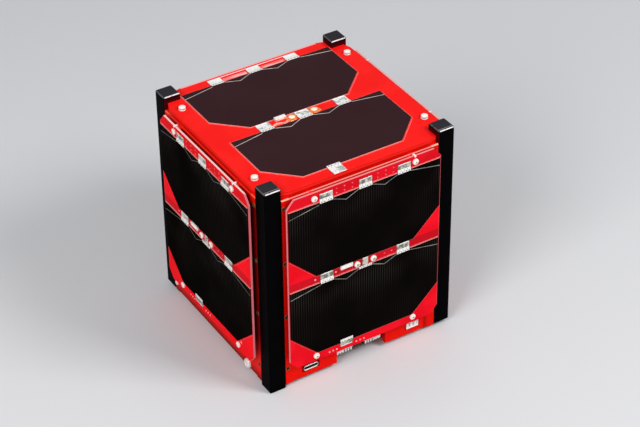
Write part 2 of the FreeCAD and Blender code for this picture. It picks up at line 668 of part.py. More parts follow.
def make_usb_port(front):
    """A USB shell of bent sheet with its tongue, under the port board."""
    body = new_body("usb_port")
    shell = new_sketch(body, "usb_shell_outline")
    slot_outline(shell, "usb_wide", "usb_tall")
    pad(body, "usb_shell", shell, "usb_long")
    hollow = new_sketch(body, "usb_hollow_outline", "usb_wall")
    slot_outline(hollow, "(usb_wide - 2 * usb_wall)", "(usb_tall - 2 * usb_wall)")
    cut(body, "usb_hollow", hollow, "usb_long - usb_wall")
    tongue = new_sketch(body, "usb_tongue_outline", "usb_wall")
    draw_rectangle(tongue, "-(usb_wide / 2 - usb_tall / 2)", "-usb_wall", "(usb_wide / 2 - usb_tall / 2)",
                   "usb_wall")
    pad(body, "usb_tongue", tongue, "usb_long - 3 * usb_wall")
    put_on_side(body, front, f"({FRAME_OUT} + usb_proud - usb_long)", PORT_MID)
    body.setExpression(".Placement.Base.x", of("usb_across"))
    return body


def make_plug_socket(front):
    """A four-way connector: a box open to the front with four contacts."""
    body = new_body("four_way_connector")
    shell = new_sketch(body, "plug_shell_outline")
    draw_rectangle(shell, "-plug_wide / 2", "-plug_tall / 2", "plug_wide / 2", "plug_tall / 2")
    pad(body, "plug_shell", shell, "plug_long")
    hollow = new_sketch(body, "plug_hollow_outline", "plug_wall")
    draw_rectangle(hollow, "-(plug_wide / 2 - plug_wall)", "-(plug_tall / 2 - plug_wall)",
                   "(plug_wide / 2 - plug_wall)", "(plug_tall / 2 - plug_wall)")
    cut(body, "plug_hollow", hollow, "plug_long - plug_wall")
    contacts = new_sketch(body, "plug_contact_outline", "plug_wall")
    pitch = "((plug_wide - 2 * plug_wall) / 4)"
    for step in (-1.5, -0.5, 0.5, 1.5):
        draw_rectangle(contacts, f"({step}) * {pitch} - plug_wall / 2", "-plug_wall / 2",
                       f"({step}) * {pitch} + plug_wall / 2", "plug_wall / 2")
    pad(body, "plug_contacts", contacts, "plug_long - 2 * plug_wall")
    put_on_side(body, front, f"({FRAME_OUT} - plug_long)", PLUG_MID)
    body.setExpression(".Placement.Base.x", of("plug_across"))
    return body


def make_headers(front):
    """Two umbilical headers in the notch, hanging under the port board."""
    body = new_body("umbilical_headers")
    blocks = new_sketch(body, "header_outline")
    left = "(header_left_gap - notch_half)"
    right = "(notch_half - header_right_gap)"
    draw_rectangle(blocks, left, "-header_tall", f"{left} + header_wide", "0")
    draw_rectangle(blocks, f"{right} - header_wide", "-header_tall", right, "0")
    pad(body, "header_blocks", blocks, "header_long")
    put_on_side(body, front, f"({FRAME_OUT} - header_recess - header_long)", PORT_HIGH)
    return body


# ---------------------------------------------------------------- the rest
def make_stack():
    """Battery and electronics as one plain block on the port board."""
    block = doc.addObject("Part::Box", "equipment_stack")
    block.Label = "equipment_stack"
    block.setExpression("Length", of(f"{STACK_HALF} * 2"))
    block.setExpression("Width", of(f"{STACK_HALF} * 2"))
    block.setExpression("Height", of(f"{FRAME_TOP} - stack_head - {STACK_LOW}"))
    put(block, Rotation(), f"-{STACK_HALF}", f"-{STACK_HALF}", STACK_LOW)
    return block


def make_studs(left):
    """Two round bright studs low on the left side frame."""
    body = new_body("left_studs")
    large = new_sketch(body, "large_stud_outline")
    draw_circle(large, f"{FRAME_HALF} - stud_inset", "stud_high", "stud_radius")
    head = pad(body, "large_stud", large, "stud_tall")
    head = soften(body, "large_stud_dome", head, "stud_tall / 3", lies_at(value_of("stud_tall")))
    small = new_sketch(body, "small_stud_outline")
    draw_circle(small, f"small_stud_inset - {FRAME_HALF}", "small_stud_high", "small_stud_radius")
    pad(body, "small_stud", small, "small_stud_tall")
    put_on_side(body, left, FRAME_OUT, "0")
    return body


def build():
    """Every sub-part, in the order in which the satellite is put together."""
    front, right, back, left = SIDES
    pieces = []
    for name, corner_x, corner_y, turn, has_plunger in RAILS:
        pieces.append(make_rail(name, corner_x, corner_y, turn, has_plunger))
        if has_plunger:
            pieces.append(make_plunger(name.replace("rail", "plunger"), corner_x, corner_y))
    for side in SIDES:
        pieces.append(make_side_frame(side))

    pieces.append(make_end_sheet("top_plate", "top_plate", "plate_thick", FRAME_TOP))
    pieces.append(make_bottom_plate())
    pieces.append(make_port_board())
    pieces.append(make_usb_port(front))
    pieces.append(make_plug_socket(front))
    pieces.append(make_headers(front))
    pieces.append(make_stack())
    pieces.append(make_studs(left))

    side_reach = "side_board_thick + boss_tall + frame_thick"
    for side in SIDES:
        pieces.append(make_solar_board(side))
        screws = make_screws(side[0], board_screws(), "screw_radius", "screw_tall", "shank_radius",
                             side_reach)
        put_on_side(screws, side, f"({BOARD_IN} + side_board_thick)", BOARD_MID)
        pieces.append(screws)
        for piece in (make_cells(side[0], SIDE_PANEL), make_tabs(side[0], SIDE_PANEL)):
            put_on_side(piece, side, BOARD_IN, BOARD_MID)
            pieces.append(piece)

    pieces.append(make_end_sheet("top_board", "solar_board_top", "board_thick", DECK))
    for piece in (make_cells("top", TOP_PANEL), make_tabs("top", TOP_PANEL)):
        put(piece, Rotation(), up=DECK)
        pieces.append(piece)
    for name, places, radius, tall, shank, reach in (
            ("top", end_screws(), "end_screw_radius", "end_screw_tall", "end_shank_radius",
             "board_thick + plate_thick + end_shank_long"),
            ("bottom", end_screws(), "end_screw_radius", "end_screw_tall", "end_shank_radius",
             "plate_thick + low_shank_long"),
            ("middle", [(across, TOP_PANEL["gap_mid"]) for across in ("-top_mid_across", "top_mid_across")],
             "screw_radius", "screw_tall", "shank_radius", "board_thick + plate_thick")):
        screws = make_screws(name, places, radius, tall, shank, reach)
        if name == "bottom":
            put(screws, Rotation(Vector(1, 0, 0), 180), up="floor_high")
        else:
            put(screws, Rotation(), up=f"{DECK} + board_thick")
        pieces.append(screws)
    return pieces


def check(pieces):
    doc.recompute()
    for item in doc.Objects:
        assert not {"Invalid", "Error"} & set(item.State), f"{item.Label} failed: {item.State}"
    for piece in pieces:
        assert not piece.Shape.isNull() and piece.Shape.isValid(), f"{piece.Label} has no valid shape"
        assert piece.Shape.Solids, f"{piece.Label} has no solid"


def write(pieces):
    os.makedirs("parts", exist_ok=True)
    for piece in pieces:
        piece.Shape.exportStep(f"parts/{piece.Label}.step")
        print(f"{piece.Label}: {len(piece.Shape.Solids)} solids, {piece.Shape.Volume:.1f} mm3")


pieces = build()
check(pieces)
write(pieces)
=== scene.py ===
"""A one-unit cube satellite, dressed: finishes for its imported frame, and the small pieces that stand on it.

Whatever sits on a side or on the top is drawn flat in millimetres, with X to the right, Y up the panel and Z
outwards from the board's face, and is then stood up in its place.
"""

import bmesh
import bpy
import math
from functools import partialmethod
from mathutils import Matrix, Vector


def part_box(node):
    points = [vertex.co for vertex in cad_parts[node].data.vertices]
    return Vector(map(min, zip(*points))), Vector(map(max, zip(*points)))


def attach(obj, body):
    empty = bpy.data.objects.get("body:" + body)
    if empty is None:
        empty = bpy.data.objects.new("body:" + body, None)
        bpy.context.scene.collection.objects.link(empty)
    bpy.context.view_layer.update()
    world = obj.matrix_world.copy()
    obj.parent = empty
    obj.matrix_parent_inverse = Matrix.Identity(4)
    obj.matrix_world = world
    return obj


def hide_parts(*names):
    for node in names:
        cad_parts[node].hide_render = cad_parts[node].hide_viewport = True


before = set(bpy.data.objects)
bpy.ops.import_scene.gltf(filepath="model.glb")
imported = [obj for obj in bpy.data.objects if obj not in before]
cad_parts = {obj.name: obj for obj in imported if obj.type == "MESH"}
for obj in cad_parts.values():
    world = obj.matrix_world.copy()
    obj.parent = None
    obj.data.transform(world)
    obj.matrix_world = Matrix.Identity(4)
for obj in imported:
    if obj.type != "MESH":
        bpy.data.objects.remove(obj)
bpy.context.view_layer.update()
MM = 0.001

# ---- places, in millimetres
# panel: across, up and outwards in the row frame
PANELS = {
    "front": ((1, 0, 0), (0, 0, 1), (0, -1, 0)),
    "right": ((0, 1, 0), (0, 0, 1), (1, 0, 0)),
    "back": ((-1, 0, 0), (0, 0, 1), (0, 1, 0)),
    "left": ((0, -1, 0), (0, 0, 1), (-1, 0, 0)),
    "top": ((1, 0, 0), (0, 1, 0), (0, 0, 1)),
}
SIDES = ("front", "right", "back", "left")
UP = (0, 0, 1)

# heights and faces of the frame that the finishes follow
RAIL_TOP = 113.5
RAIL_INNER = 41.5
FRAME_TOP = 107.0
FRAME_FACE = 49.8
PANEL_MIDDLE = 59.9
# the frame's face, from the face of a side's board
FRONT_FACE = -3.2

CELL_HALF = 40.1
CELL_TALL = 40.1
CELL_THICK = 0.3
FINGER_LINE_PITCH = 1.25
# length of a cell's straight side, above its cropped corner
CELL_STRAIGHT = 26.6
BOARD_HALF = 40.7
# upper edges of the two cells, from the middle of the board
CELL_TOPS = {"side": (41.9, -2.9), "top": (42.9, -3.1)}

TAB_WIDE = 6.8
TAB_PITCH = 20.6
TAB_LAP = 0.7
FOIL = 0.14
# fingers of a tab, and the narrow slots between them
FINGERS = 4
FINGER_GAP = 0.22


def panel_place(panel):
    """Matrix from a panel's flat millimetres to the row frame in metres."""
    across, up, out = (Vector(axis) for axis in PANELS[panel])
    low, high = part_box(f"solar_board_{panel}")
    middle = (low + high) / 2
    face = middle + out * abs((high - low).dot(out)) / 2
    turn = Matrix((across, up, out)).transposed().to_4x4()
    return Matrix.Translation(face) @ turn @ Matrix.Scale(MM, 4)


def in_scene(name, data):
    thing = bpy.data.objects.new(name, data)
    bpy.context.scene.collection.objects.link(thing)
    return thing


# ---- wiring of node trees
class Wire:
    """One output of a node tree, which sums and products with numbers or other wires extend."""

    def __init__(self, graph, socket):
        self.graph = graph
        self.socket = socket

    def math(self, operation, *others):
        return self.graph.shade("Math", dict(enumerate((self, *others))), operation=operation)

    def __rsub__(self, other):
        return self.graph.shade("Math", {0: other, 1: self}, operation="SUBTRACT")

    __add__ = __radd__ = partialmethod(math, "ADD")
    __sub__ = partialmethod(math, "SUBTRACT")
    __mul__ = __rmul__ = partialmethod(math, "MULTIPLY")
    __truediv__ = partialmethod(math, "DIVIDE")
    __abs__ = partialmethod(math, "ABSOLUTE")
    __gt__ = partialmethod(math, "GREATER_THAN")
    __lt__ = partialmethod(math, "LESS_THAN")
    most = partialmethod(math, "MAXIMUM")
    least = partialmethod(math, "MINIMUM")

    def fade(self, start, end):
        """0 at start, 1 at end, and a soft step between."""
        return self.graph.shade("MapRange", {"Value": self, "From Min": start, "From Max": end},
                                interpolation_type="SMOOTHSTEP")


class Graph:
    """A node tree in which one call makes a node: its kind, what goes into it and its settings."""

    def __init__(self, tree):
        self.tree = tree

    def node(self, kind, sockets=None, out=0, **settings):
        made = self.tree.nodes.new(kind)
        for name, value in settings.items():
            setattr(made, name, value)
        for key, value in (sockets or {}).items():
            self.plug(value, made.inputs[key])
        return Wire(self, made.outputs[out])

    def shade(self, kind, sockets=None, **rest):
        return self.node("ShaderNode" + kind, sockets, **rest)

    def geo(self, kind, sockets=None, **rest):
        return self.node("GeometryNode" + kind, sockets, **rest)

    def plug(self, value, socket):
        if isinstance(value, list):
            for item in value:
                self.plug(item, socket)
        elif isinstance(value, Wire):
            self.tree.links.new(value.socket, socket)
        else:
            socket.default_value = value

    def mix(self, share, first, second):
        """One colour at 0, the other at 1."""
        return self.shade("Mix", {0: share, 6: rgba(first), 7: rgba(second)}, data_type="RGBA", out=2)

    def split(self, vector):
        return [self.shade("SeparateXYZ", {0: vector}, out=axis) for axis in range(3)]

    def join(self, x=0.0, y=0.0, z=0.0):
        return self.shade("CombineXYZ", {0: x, 1: y, 2: z})


def rgba(colour):
    return colour if isinstance(colour, Wire) else (*colour, 1.0)


class Finish(Graph):
    """A material: one Principled shader whose constants are set here and whose changing inputs are wired."""

    def __init__(self, name, **constants):
        self.material = bpy.data.materials.new(name)
        self.material.use_nodes = True
        super().__init__(self.material.node_tree)
        self.shader = self.tree.nodes["Principled BSDF"]
        self.wear(**constants)

    def wear(self, **inputs):
        for label, value in inputs.items():
            self.plug(rgba(value) if label == "Base_Color" else value,
                      self.shader.inputs[label.replace("_", " ")])
        return self.material

    def place(self):
        """Object coordinates in millimetres."""
        return self.stretched(self.shade("TexCoord", out=3), *[1 / MM] * 3)

    def noise(self, place, scale, detail=2.0, roughness=0.5):
        return self.shade("TexNoise", {
            "Vector": place, "Scale": scale, "Detail": detail, "Roughness": roughness})

    def stretched(self, place, x=1.0, y=1.0, z=1.0):
        return self.shade("VectorMath", {0: place, 1: (x, y, z)}, operation="MULTIPLY")

    def along(self, place, axis):
        """How far a place lies along an axis."""
        return self.shade("VectorMath", {0: place, 1: axis}, operation="DOT_PRODUCT", out=1)

    def bump(self, height, strength, distance, edge=0.12):
        """Surface relief, over edges that are rounded by a hair."""
        rounded = self.shade("Bevel", {"Radius": edge * MM}, samples=4)
        return self.shade("Bump", {
            "Height": height, "Strength": strength, "Distance": distance * MM, "Normal": rounded})

    def cut_face(self, panel):
        """1 on the cut edges of what lies on a panel."""
        return 1 - abs(self.facing(PANELS[panel][2])).fade(0.4, 0.8)

    def bevelled(self):
        """1 on upward bevels of about 45 degrees."""
        level = self.facing(UP)
        return level.fade(0.5, 0.6) * (1 - level.fade(0.8, 0.9))

    def facing(self, axis):
        """How far the surface faces along an axis of the row frame, from -1 to 1."""
        return self.along(self.shade("NewGeometry", out=1), axis)


# ---- finishes
def black_anodised():
    """Hard-anodised rails: satin black with a fine blasted grain, a painted highlight on the rim bevel at
    each end, strongest where it faces the front, and painted light on the top end faces.
    """
    finish = Finish("black_hard_anodised", Specular_IOR_Level=0.006)
    place = finish.place()
    x, y, z = finish.split(place)
    grain = finish.noise(place, 9.0, 3.0, 0.6)
    cloud = finish.noise(place, 0.11, 2.0)
    drawn = finish.noise(finish.stretched(place, 5.0, 5.0, 0.06), 1.0, 2.0)
    near_end = 1 - (RAIL_TOP - z).least(z).fade(1.0, 1.1)
    slope = finish.bevelled()
    # painted highlight: the rim bevel at each end is painted pale, most where it faces the front and the
    # light
    to_front = finish.facing((0, -1, 0)).fade(0.5, 0.65)
    rim = near_end * slope * finish.noise(place, 0.9, 3.0).fade(0.22, 0.48)
    # painted light: the upward end faces are painted lighter grey, as the light from above falls on them
    end_face = finish.facing(UP).fade(0.9, 0.95) * near_end
    body = finish.mix(cloud, (0.0007, 0.0006, 0.0009), (0.0018, 0.0015, 0.002))
    body = finish.mix(end_face, body, finish.mix(cloud, (0.024, 0.022, 0.028), (0.034, 0.032, 0.036)))
    # a pale line across the top end faces, near their front edge
    front_end_line = end_face * (y < -48.5) * (y > -48.76)
    body = finish.mix(front_end_line * 0.4, body, (0.8, 0.72, 0.68))
    # painted reflection: the red deck's light is painted onto the inner faces that stand over it
    deck_reflection = ((abs(x).least(abs(y)) < RAIL_INNER + 0.3) * z.fade(FRAME_TOP - 0.2, FRAME_TOP + 0.2)
                 * (1 - z.fade(110.5, RAIL_TOP + 0.1)))
    body = finish.mix(deck_reflection * 0.85, body, (0.075, 0.002, 0.004))
    return finish.wear(
        Base_Color=finish.mix(rim * (0.14 + to_front * 0.86), body, (0.86, 0.8, 0.79)),
        Roughness=0.32 + grain * 0.1 + drawn * 0.1,
        Normal=finish.bump(grain * 0.7 + drawn * 0.5, 0.2, 0.05))


def red_anodised():
    """Red-dyed frames and end plates, with painted highlights on their upper outer edge and painted shade in
    gaps, by the rails and under the boards.
    """
    finish = Finish("red_anodised", Specular_IOR_Level=0.02)
    place = finish.place()
    x, y, z = finish.split(place)
    grain = finish.noise(place, 7.0, 3.0, 0.6)
    cloud = finish.noise(place, 0.09, 2.0)
    slope = finish.bevelled()
    # painted highlight: the upper outer bevel is painted pale, brighter on the front and back than on the
    # sides, and paler still near the ends
    edge = slope * (z > FRAME_TOP - 0.6)
    at_ends = abs(x).least(abs(y)).fade(37.4, 37.9)
    long_way = abs(finish.facing((0, 1, 0))).fade(0.3, 0.5)
    face_out = abs(x).most(abs(y)) > FRAME_FACE - 0.2
    spacer = abs(x).fade(50.4, 50.9)
    face = face_out * (abs(x).least(abs(y)) < 37.0)
    # painted shade where light is cut off: in the narrow gap behind a board's upper edge, by a rail, under a
    # board
    gap = (1 - (z + (1 - long_way) * 0.9).fade(105.5, 106.3)) * z.fade(102.0, 103.5) * face * (1 - slope)
    # painted shade: the end plate's rim is darkened under the board that lies on it
    plate_rim_shade = (z > 108.4) * (abs(x).most(abs(y)) > 47.9)
    body = finish.mix(cloud, (0.8, 0.0045, 0.0016), (0.95, 0.008, 0.0028))
    body = finish.mix(plate_rim_shade * 0.5, body, (0.3, 0.002, 0.001))
    body = finish.mix(gap * 0.6, body, (0.16, 0.0015, 0.001))
    # painted shadow of the rails on the left and right frames' faces
    rail_shadow = ((1 - long_way) * abs(y).fade(36.3, 36.8) * z.fade(14.0, 30.0)
               * (1 - z.fade(100.0, 105.0)) * face_out)
    body = finish.mix(rail_shadow * 0.86, body, (0.045, 0.0012, 0.0012))
    # painted shade under the side boards, darker towards the bottom
    below = (1 - long_way) * face_out * (1 - z.fade(2.5, 8.5)) * (1 - slope)
    body = finish.mix(below * 0.72, body, (0.05, 0.0008, 0.0007))
    # painted shade on the front frame, right of the four-way plug
    step_shade = ((x - 34.7).fade(0.0, 1.0) * (1 - (x - 35.9).fade(0.0, 2.4))
              * (1 - z.fade(10.5, 11.5)) * (y < -49.0))
    body = finish.mix(step_shade * 0.6, body, (0.22, 0.002, 0.001))
    side_edge_highlight = finish.mix(at_ends, (0.95, 0.03, 0.012), (1.0, 0.12, 0.06))
    front_edge_highlight = finish.mix(at_ends, (0.97, 0.25, 0.21), (1.0, 0.46, 0.33))
    colour = finish.mix(edge, body, finish.mix(long_way, side_edge_highlight, front_edge_highlight))
    return finish.wear(
        Base_Color=finish.mix(spacer, colour, (0.92, 0.22, 0.2)),
        Metallic=0.2 - edge.most(spacer) * 0.2,
        Roughness=0.34 + grain * 0.14,
        Normal=finish.bump(grain, 0.16, 0.05))


# solder mask, over bare board and over copper; the top's and the left's pairs are painted light, the same
# mask tinted for how the light falls on those panels
MASKS_AS_LIT = {"top": ((0.92, 0.0085, 0.007), (0.99, 0.014, 0.0105)),
         "left": ((0.93, 0.003, 0.0085), (0.99, 0.0045, 0.0125))}
SIDE_MASK = ((0.82, 0.0045, 0.0135), (0.98, 0.0075, 0.0215))
# cut laminate, rough and clear: round the boards, the top board's kept red, partly the mask's red and partly
# painted shade, and along the upper edge of each side's, painted paler per side as a painted highlight of the
# light from above
SHADED_TOP_LAMINATE = ((0.86, 0.013, 0.008), (0.97, 0.02, 0.013))
SIDE_LAMINATE = ((0.92, 0.2, 0.23), (1.0, 0.3, 0.33))
LIT_UPPER_EDGES = {
    "front": ((0.8, 0.22, 0.22), (0.9, 0.3, 0.29)),
    "right": ((1.0, 0.4, 0.38), (1.0, 0.52, 0.49)),
    "back": ((1.0, 0.34, 0.32), (1.0, 0.48, 0.45)),
    "left": ((1.0, 0.5, 0.46), (1.0, 0.66, 0.62)),
}


def top_board_marks(finish, place, colour, cut_face):
    """The top board's arris darkened as painted shade, a painted highlight along its back edge and a smear of
    resin.
    """
    x, y, z = finish.split(place)
    flat = 1 - cut_face
    # painted shade: the upper arris of the cut edge is darkened
    arris = cut_face * (z > 110.02)
    colour = finish.mix(arris * 0.6, colour, (0.46, 0.003, 0.002))
    # painted highlight: a pale line along the back edge between the corner rails
    run = y.fade(48.6, 48.72) * (1 - abs(x).fade(36.8, 37.6)) * flat
    colour = finish.mix(run, colour, (1.0, 0.4, 0.38))
    # a smear of clear resin between the back tabs
    smear = ((y - 43.3).fade(0.0, 0.5) * (1 - (y - 45.4).fade(0.0, 0.7))
             * abs(x).fade(3.8, 4.4) * (1 - abs(x).fade(16.2, 17.0)) * flat)
    streak = finish.noise(finish.stretched(place, 0.16, 1.1, 1.0), 1.0, 3.0).fade(0.38, 0.6)
    return finish.mix(smear * (0.25 + streak * 0.75), colour, (0.96, 0.52, 0.49))


def side_board_marks(finish, place, colour, cut_face, fibres, panel):
    """A side board's deeper strips above and between the cells, its margins, painted shade on its inner face
    and a painted highlight along its upper edge.
    """
    across, up, out = PANELS[panel]
    flat = 1 - cut_face
    inside = BOARD_HALF - abs(finish.along(place, across))
    high = finish.along(place, up) - PANEL_MIDDLE
    first, second = CELL_TOPS["side"]
    strips = (high > second) * (high < first - CELL_TALL) * 0.42 + (high > first) * 0.24
    colour = finish.mix(strips * flat, colour, (0.16, 0.006, 0.012))
    beside_cells = sum((high < top) * (high > top - CELL_STRAIGHT) for top in (first, second))
    margin = beside_cells * (1 - inside.fade(0.58, 0.64)) * flat
    colour = finish.mix(margin * 0.75, colour, (0.05, 0.006, 0.007))
    border = (1 - inside.fade(0.18, 0.26)) * flat
    colour = finish.mix(border * 0.8, colour, (0.5, 0.12, 0.13))
    # painted shade on the board's inner face, which faces the frame
    inner_face_shade = 1 - finish.facing(out).fade(-0.9, -0.6)
    colour = finish.mix(inner_face_shade * 0.6, colour, (0.1, 0.002, 0.003))
    # painted highlight: the upward cut edge, lit from above, is painted paler
    lit_upper_edge = finish.facing(UP).fade(0.8, 0.95) * cut_face
    return finish.mix(lit_upper_edge, colour, finish.mix(fibres, *LIT_UPPER_EDGES[panel]))


def red_board(panel):
    """Red solder mask over copper, with the laminate bare round its outline."""
    on_top = panel == "top"
    finish = Finish(f"solder_mask_{panel}", Specular_IOR_Level=0.05 if on_top else 0.012)
    place = finish.place()
    weave = finish.shade("TexWave", {"Vector": place, "Scale": 1.7, "Distortion": 0.4},
                         bands_direction="DIAGONAL")
    pour = finish.noise(place, 0.055, 1.5).fade(0.42, 0.58)
    peel = finish.noise(place, 1.6, 2.0)
    mask = finish.mix(pour * 0.7 + weave * 0.1, *MASKS_AS_LIT.get(panel, SIDE_MASK))
    cut_face = finish.cut_face(panel)
    fibres = finish.noise(finish.stretched(place, 2.0, 2.0, 6.0), 1.0, 3.0)
    laminate = finish.mix(fibres, *(SHADED_TOP_LAMINATE if on_top else SIDE_LAMINATE))
    colour = finish.mix(cut_face, mask, laminate)
    if on_top:
        colour = top_board_marks(finish, place, colour, cut_face)
    else:
        colour = side_board_marks(finish, place, colour, cut_face, fibres, panel)
    return finish.wear(
        Base_Color=colour,
        Roughness=0.3 + peel * 0.08 + cut_face * 0.25,
        Normal=finish.bump(peel + weave * 0.25 + pour * 1.5, 0.1, 0.08))


def solar_cell(panel):
    """A dark cell under dulled cover glass: thin fingers up the cell, and a pale glass edge painted as a
    highlight.
    """
    across, up, _ = PANELS[panel]
    on_top = panel == "top"
    finish = Finish(f"solar_cell_{panel}", Specular_IOR_Level=0.02 if on_top else 0.0)
    place = finish.place()
    step = (finish.along(place, across) / FINGER_LINE_PITCH).math("FRACT")
    finger = abs(step - 0.5) < 0.07
    high = finish.along(place, up) - (0.0 if on_top else PANEL_MIDDLE)
    tops = CELL_TOPS["top" if on_top else "side"]
    below = (high < tops[1]) * (tops[1] - high) + (1 - (high < tops[1])) * (tops[0] - high)
    near_top = 1 - below.fade(4.0, 20.0)
    sheen = finish.noise(place, 0.035, 2.0)
    grain = finish.noise(place, 2.2, 3.0, 0.6)
    # painted sheen: the top's cells are painted lighter and purpler than the sides', as the light from above
    # shows on their glass
    dark = (0.026, 0.009, 0.011) if on_top else (0.0026, 0.0019, 0.0018)
    light = (0.04, 0.014, 0.0165) if on_top else (0.0042, 0.003, 0.0028)
    wafer = finish.mix(sheen * 0.7 + grain * 0.3, dark, light)
    patchy = sheen.fade(0.35, 0.65) * (0.5 + near_top * 1.6)
    lined = finish.mix(finger * patchy * (0.03 if on_top else 0.1), wafer, (0.22, 0.2, 0.17))
    # painted highlight: the glass edge is painted pale, on the sides only where it runs across the cell
    cut_face = finish.cut_face(panel)
    if not on_top:
        cut_face = cut_face * (1 - abs(finish.facing(across)).fade(0.8, 0.95))
    return finish.wear(
        Base_Color=finish.mix(cut_face, lined, (0.95, 0.46, 0.42)),
        Roughness=0.22 + grain * 0.08 + cut_face * 0.15,
        Normal=finish.bump(grain, 0.04, 0.04))


def metal(name, colour, darker, roughness, metallic=1.0, grain_scale=3.0, grain=0.12):
    """A plain metal with fine variation in colour and gloss."""
    finish = Finish(name, Metallic=metallic)
    place = finish.place()
    fine = finish.noise(place, grain_scale, 3.0, 0.6)
    return finish.wear(
        Base_Color=finish.mix(fine.fade(0.3, 0.7), darker, colour),
        Roughness=roughness + fine * grain,
        Normal=finish.bump(fine, 0.1, 0.03))


def silver_foil():
    """Interconnect foil with the fine mesh of expanded metal, painted brighter where it faces up as painted
    light.
    """
    finish = Finish("silver_foil", Specular_IOR_Level=0.3)
    # the flat drawing's millimetres, which a piece carries as its UV map
    flat = finish.shade("UVMap", uv_map="flat")
    place = finish.place()
    first, second = (finish.shade("TexWave", {"Vector": finish.stretched(flat, 1.0, way, 0.0), "Scale": 0.75},
                                  bands_direction="DIAGONAL") for way in (1.0, -1.0))
    mesh = first.most(second).fade(0.5, 0.95)
    tarnish = finish.noise(place, 0.42, 3.0, 0.6)
    # painted light: foil that faces up, on the top, is painted brighter than foil on the sides, and the top's
    # back row paler still
    level = finish.facing(UP).fade(0.6, 0.9)
    back_row = level * finish.split(place)[1].fade(41.0, 42.0)
    dull = finish.mix(level, (0.095, 0.095, 0.075), (0.34, 0.4, 0.35))
    dull = finish.mix(back_row * 0.8, dull, (0.97, 0.94, 0.9))
    clean = finish.mix(level, (0.66, 0.64, 0.57), (0.99, 0.98, 0.96))
    return finish.wear(
        Base_Color=finish.mix(mesh * 0.25 + tarnish.fade(0.42, 0.56) * 0.75, dull, clean),
        Metallic=0.3,
        Roughness=0.34 + tarnish * 0.16,
        Normal=finish.bump(mesh + tarnish * 0.4, 0.25, 0.06))


def moulded(name, colour, darker, roughness, gloss=0.4):
    """Moulded plastic or cured resin with a slightly mottled surface."""
    finish = Finish(name, Specular_IOR_Level=gloss)
    place = finish.place()
    mottle = finish.noise(place, 1.1, 3.0)
    fine = finish.noise(place, 8.0, 2.0)
    return finish.wear(
        Base_Color=finish.mix(mottle.fade(0.3, 0.7), darker, colour),
        Roughness=roughness + fine * 0.12,
        Normal=finish.bump(fine, 0.1, 0.04))


BLACK_RAIL = black_anodised()
RED_METAL = red_anodised()
FOIL_SILVER = silver_foil()
STEEL = metal("bright_steel", (1.0, 0.94, 0.87), (0.9, 0.82, 0.75), 0.26, 0.2)
STUD_STEEL = metal("stud_steel", (1.0, 0.95, 0.9), (0.58, 0.53, 0.5), 0.24, 0.2, 0.75, 0.16)
# pale blocks over the boards' upper edges, a painted highlight
EDGE_GLINT = moulded("pale_clip", (1.0, 0.86, 0.83), (1.0, 0.74, 0.71), 0.34, 0.3)
DARK_STEEL = metal("dark_steel", (0.12, 0.12, 0.13), (0.06, 0.06, 0.065), 0.28)
TIN = metal("tinned_foil", (0.97, 0.95, 0.91), (0.84, 0.82, 0.77), 0.3, 0.25)
BUSBAR = metal("cell_busbar", (0.38, 0.37, 0.32), (0.1, 0.1, 0.08), 0.34, 0.2, 0.16)
# lit and shaded copies of the busbar metal: the left's painted darker as painted shade, the top's painted
# brighter as painted light
SHADED_BUSBAR = metal("cell_busbar_dull", (0.12, 0.12, 0.1), (0.035, 0.035, 0.03), 0.4, 0.1, 0.16)
LIT_TOP_BUSBAR = metal("cell_busbar_top", (0.84, 0.74, 0.68), (0.46, 0.39, 0.36), 0.34, 0.2, 0.16)
BRASS = metal("eyelet_metal", (0.3, 0.17, 0.07), (0.09, 0.045, 0.025), 0.3, 0.5, 0.5)
GOLD = metal("gold_contact", (0.95, 0.7, 0.3), (0.8, 0.56, 0.22), 0.2)
TIN_SHELL = metal("tinned_shell", (0.96, 0.95, 0.92), (0.84, 0.83, 0.8), 0.22, 0.6)
PALE_PLASTIC = moulded("pale_plastic", (0.97, 0.94, 0.88), (0.86, 0.82, 0.76), 0.38)
WHITE_PLASTIC = moulded("white_plastic", (0.98, 0.95, 0.9), (0.94, 0.9, 0.84), 0.35)
BLACK_PLASTIC = moulded("black_plastic", (0.01, 0.01, 0.011), (0.006, 0.006, 0.007), 0.42, 0.2)
GREEN_BOARD = moulded("green_solder_mask", (0.012, 0.06, 0.028), (0.008, 0.04, 0.018), 0.28)
WELD = metal("weld_spot", (0.2, 0.21, 0.17), (0.08, 0.08, 0.07), 0.34, 0.2, 0.9)
PAD = moulded("pad_through_mask", (0.96, 0.62, 0.58), (0.9, 0.3, 0.3), 0.34, 0.2)
DIM_PAD = moulded("pad_under_mask", (0.93, 0.21, 0.23), (0.85, 0.06, 0.09), 0.34, 0.1)
# painted shade in the sockets of the side boards' screws, a grey darker than their steel
SOCKET_SHADE = moulded("screw_socket", (0.46, 0.43, 0.38), (0.34, 0.31, 0.27), 0.5, 0.1)
CREAM = metal("resin_wet_steel", (1.0, 0.95, 0.78), (0.98, 0.84, 0.6), 0.22, 0.1)
CLEAR_LINE = moulded("clear_line", (1.0, 0.9, 0.88), (0.96, 0.74, 0.72), 0.3, 0.2)
TRAIL = moulded("resin_trail", (0.98, 0.56, 0.42), (0.93, 0.17, 0.08), 0.25, 0.3)
AMBER = moulded("amber_resin", (0.93, 0.3, 0.035), (0.62, 0.085, 0.01), 0.12, 0.5)
# lit and shaded copies of the cells' printed outline: the bright one is a painted highlight along the cells'
# upper edges
LIT_LINE_PRINT = moulded("line_print", (0.92, 0.44, 0.39), (0.86, 0.16, 0.13), 0.5, 0.1)
SHADED_LINE_PRINT = moulded("line_print_dim", (0.74, 0.15, 0.14), (0.62, 0.06, 0.06), 0.5, 0.1)


# ---- flat meshes
def move(meshes, x, y, z):
    for mesh in meshes:
        mesh.transform(Matrix.Translation((x, y, z)))
    return meshes


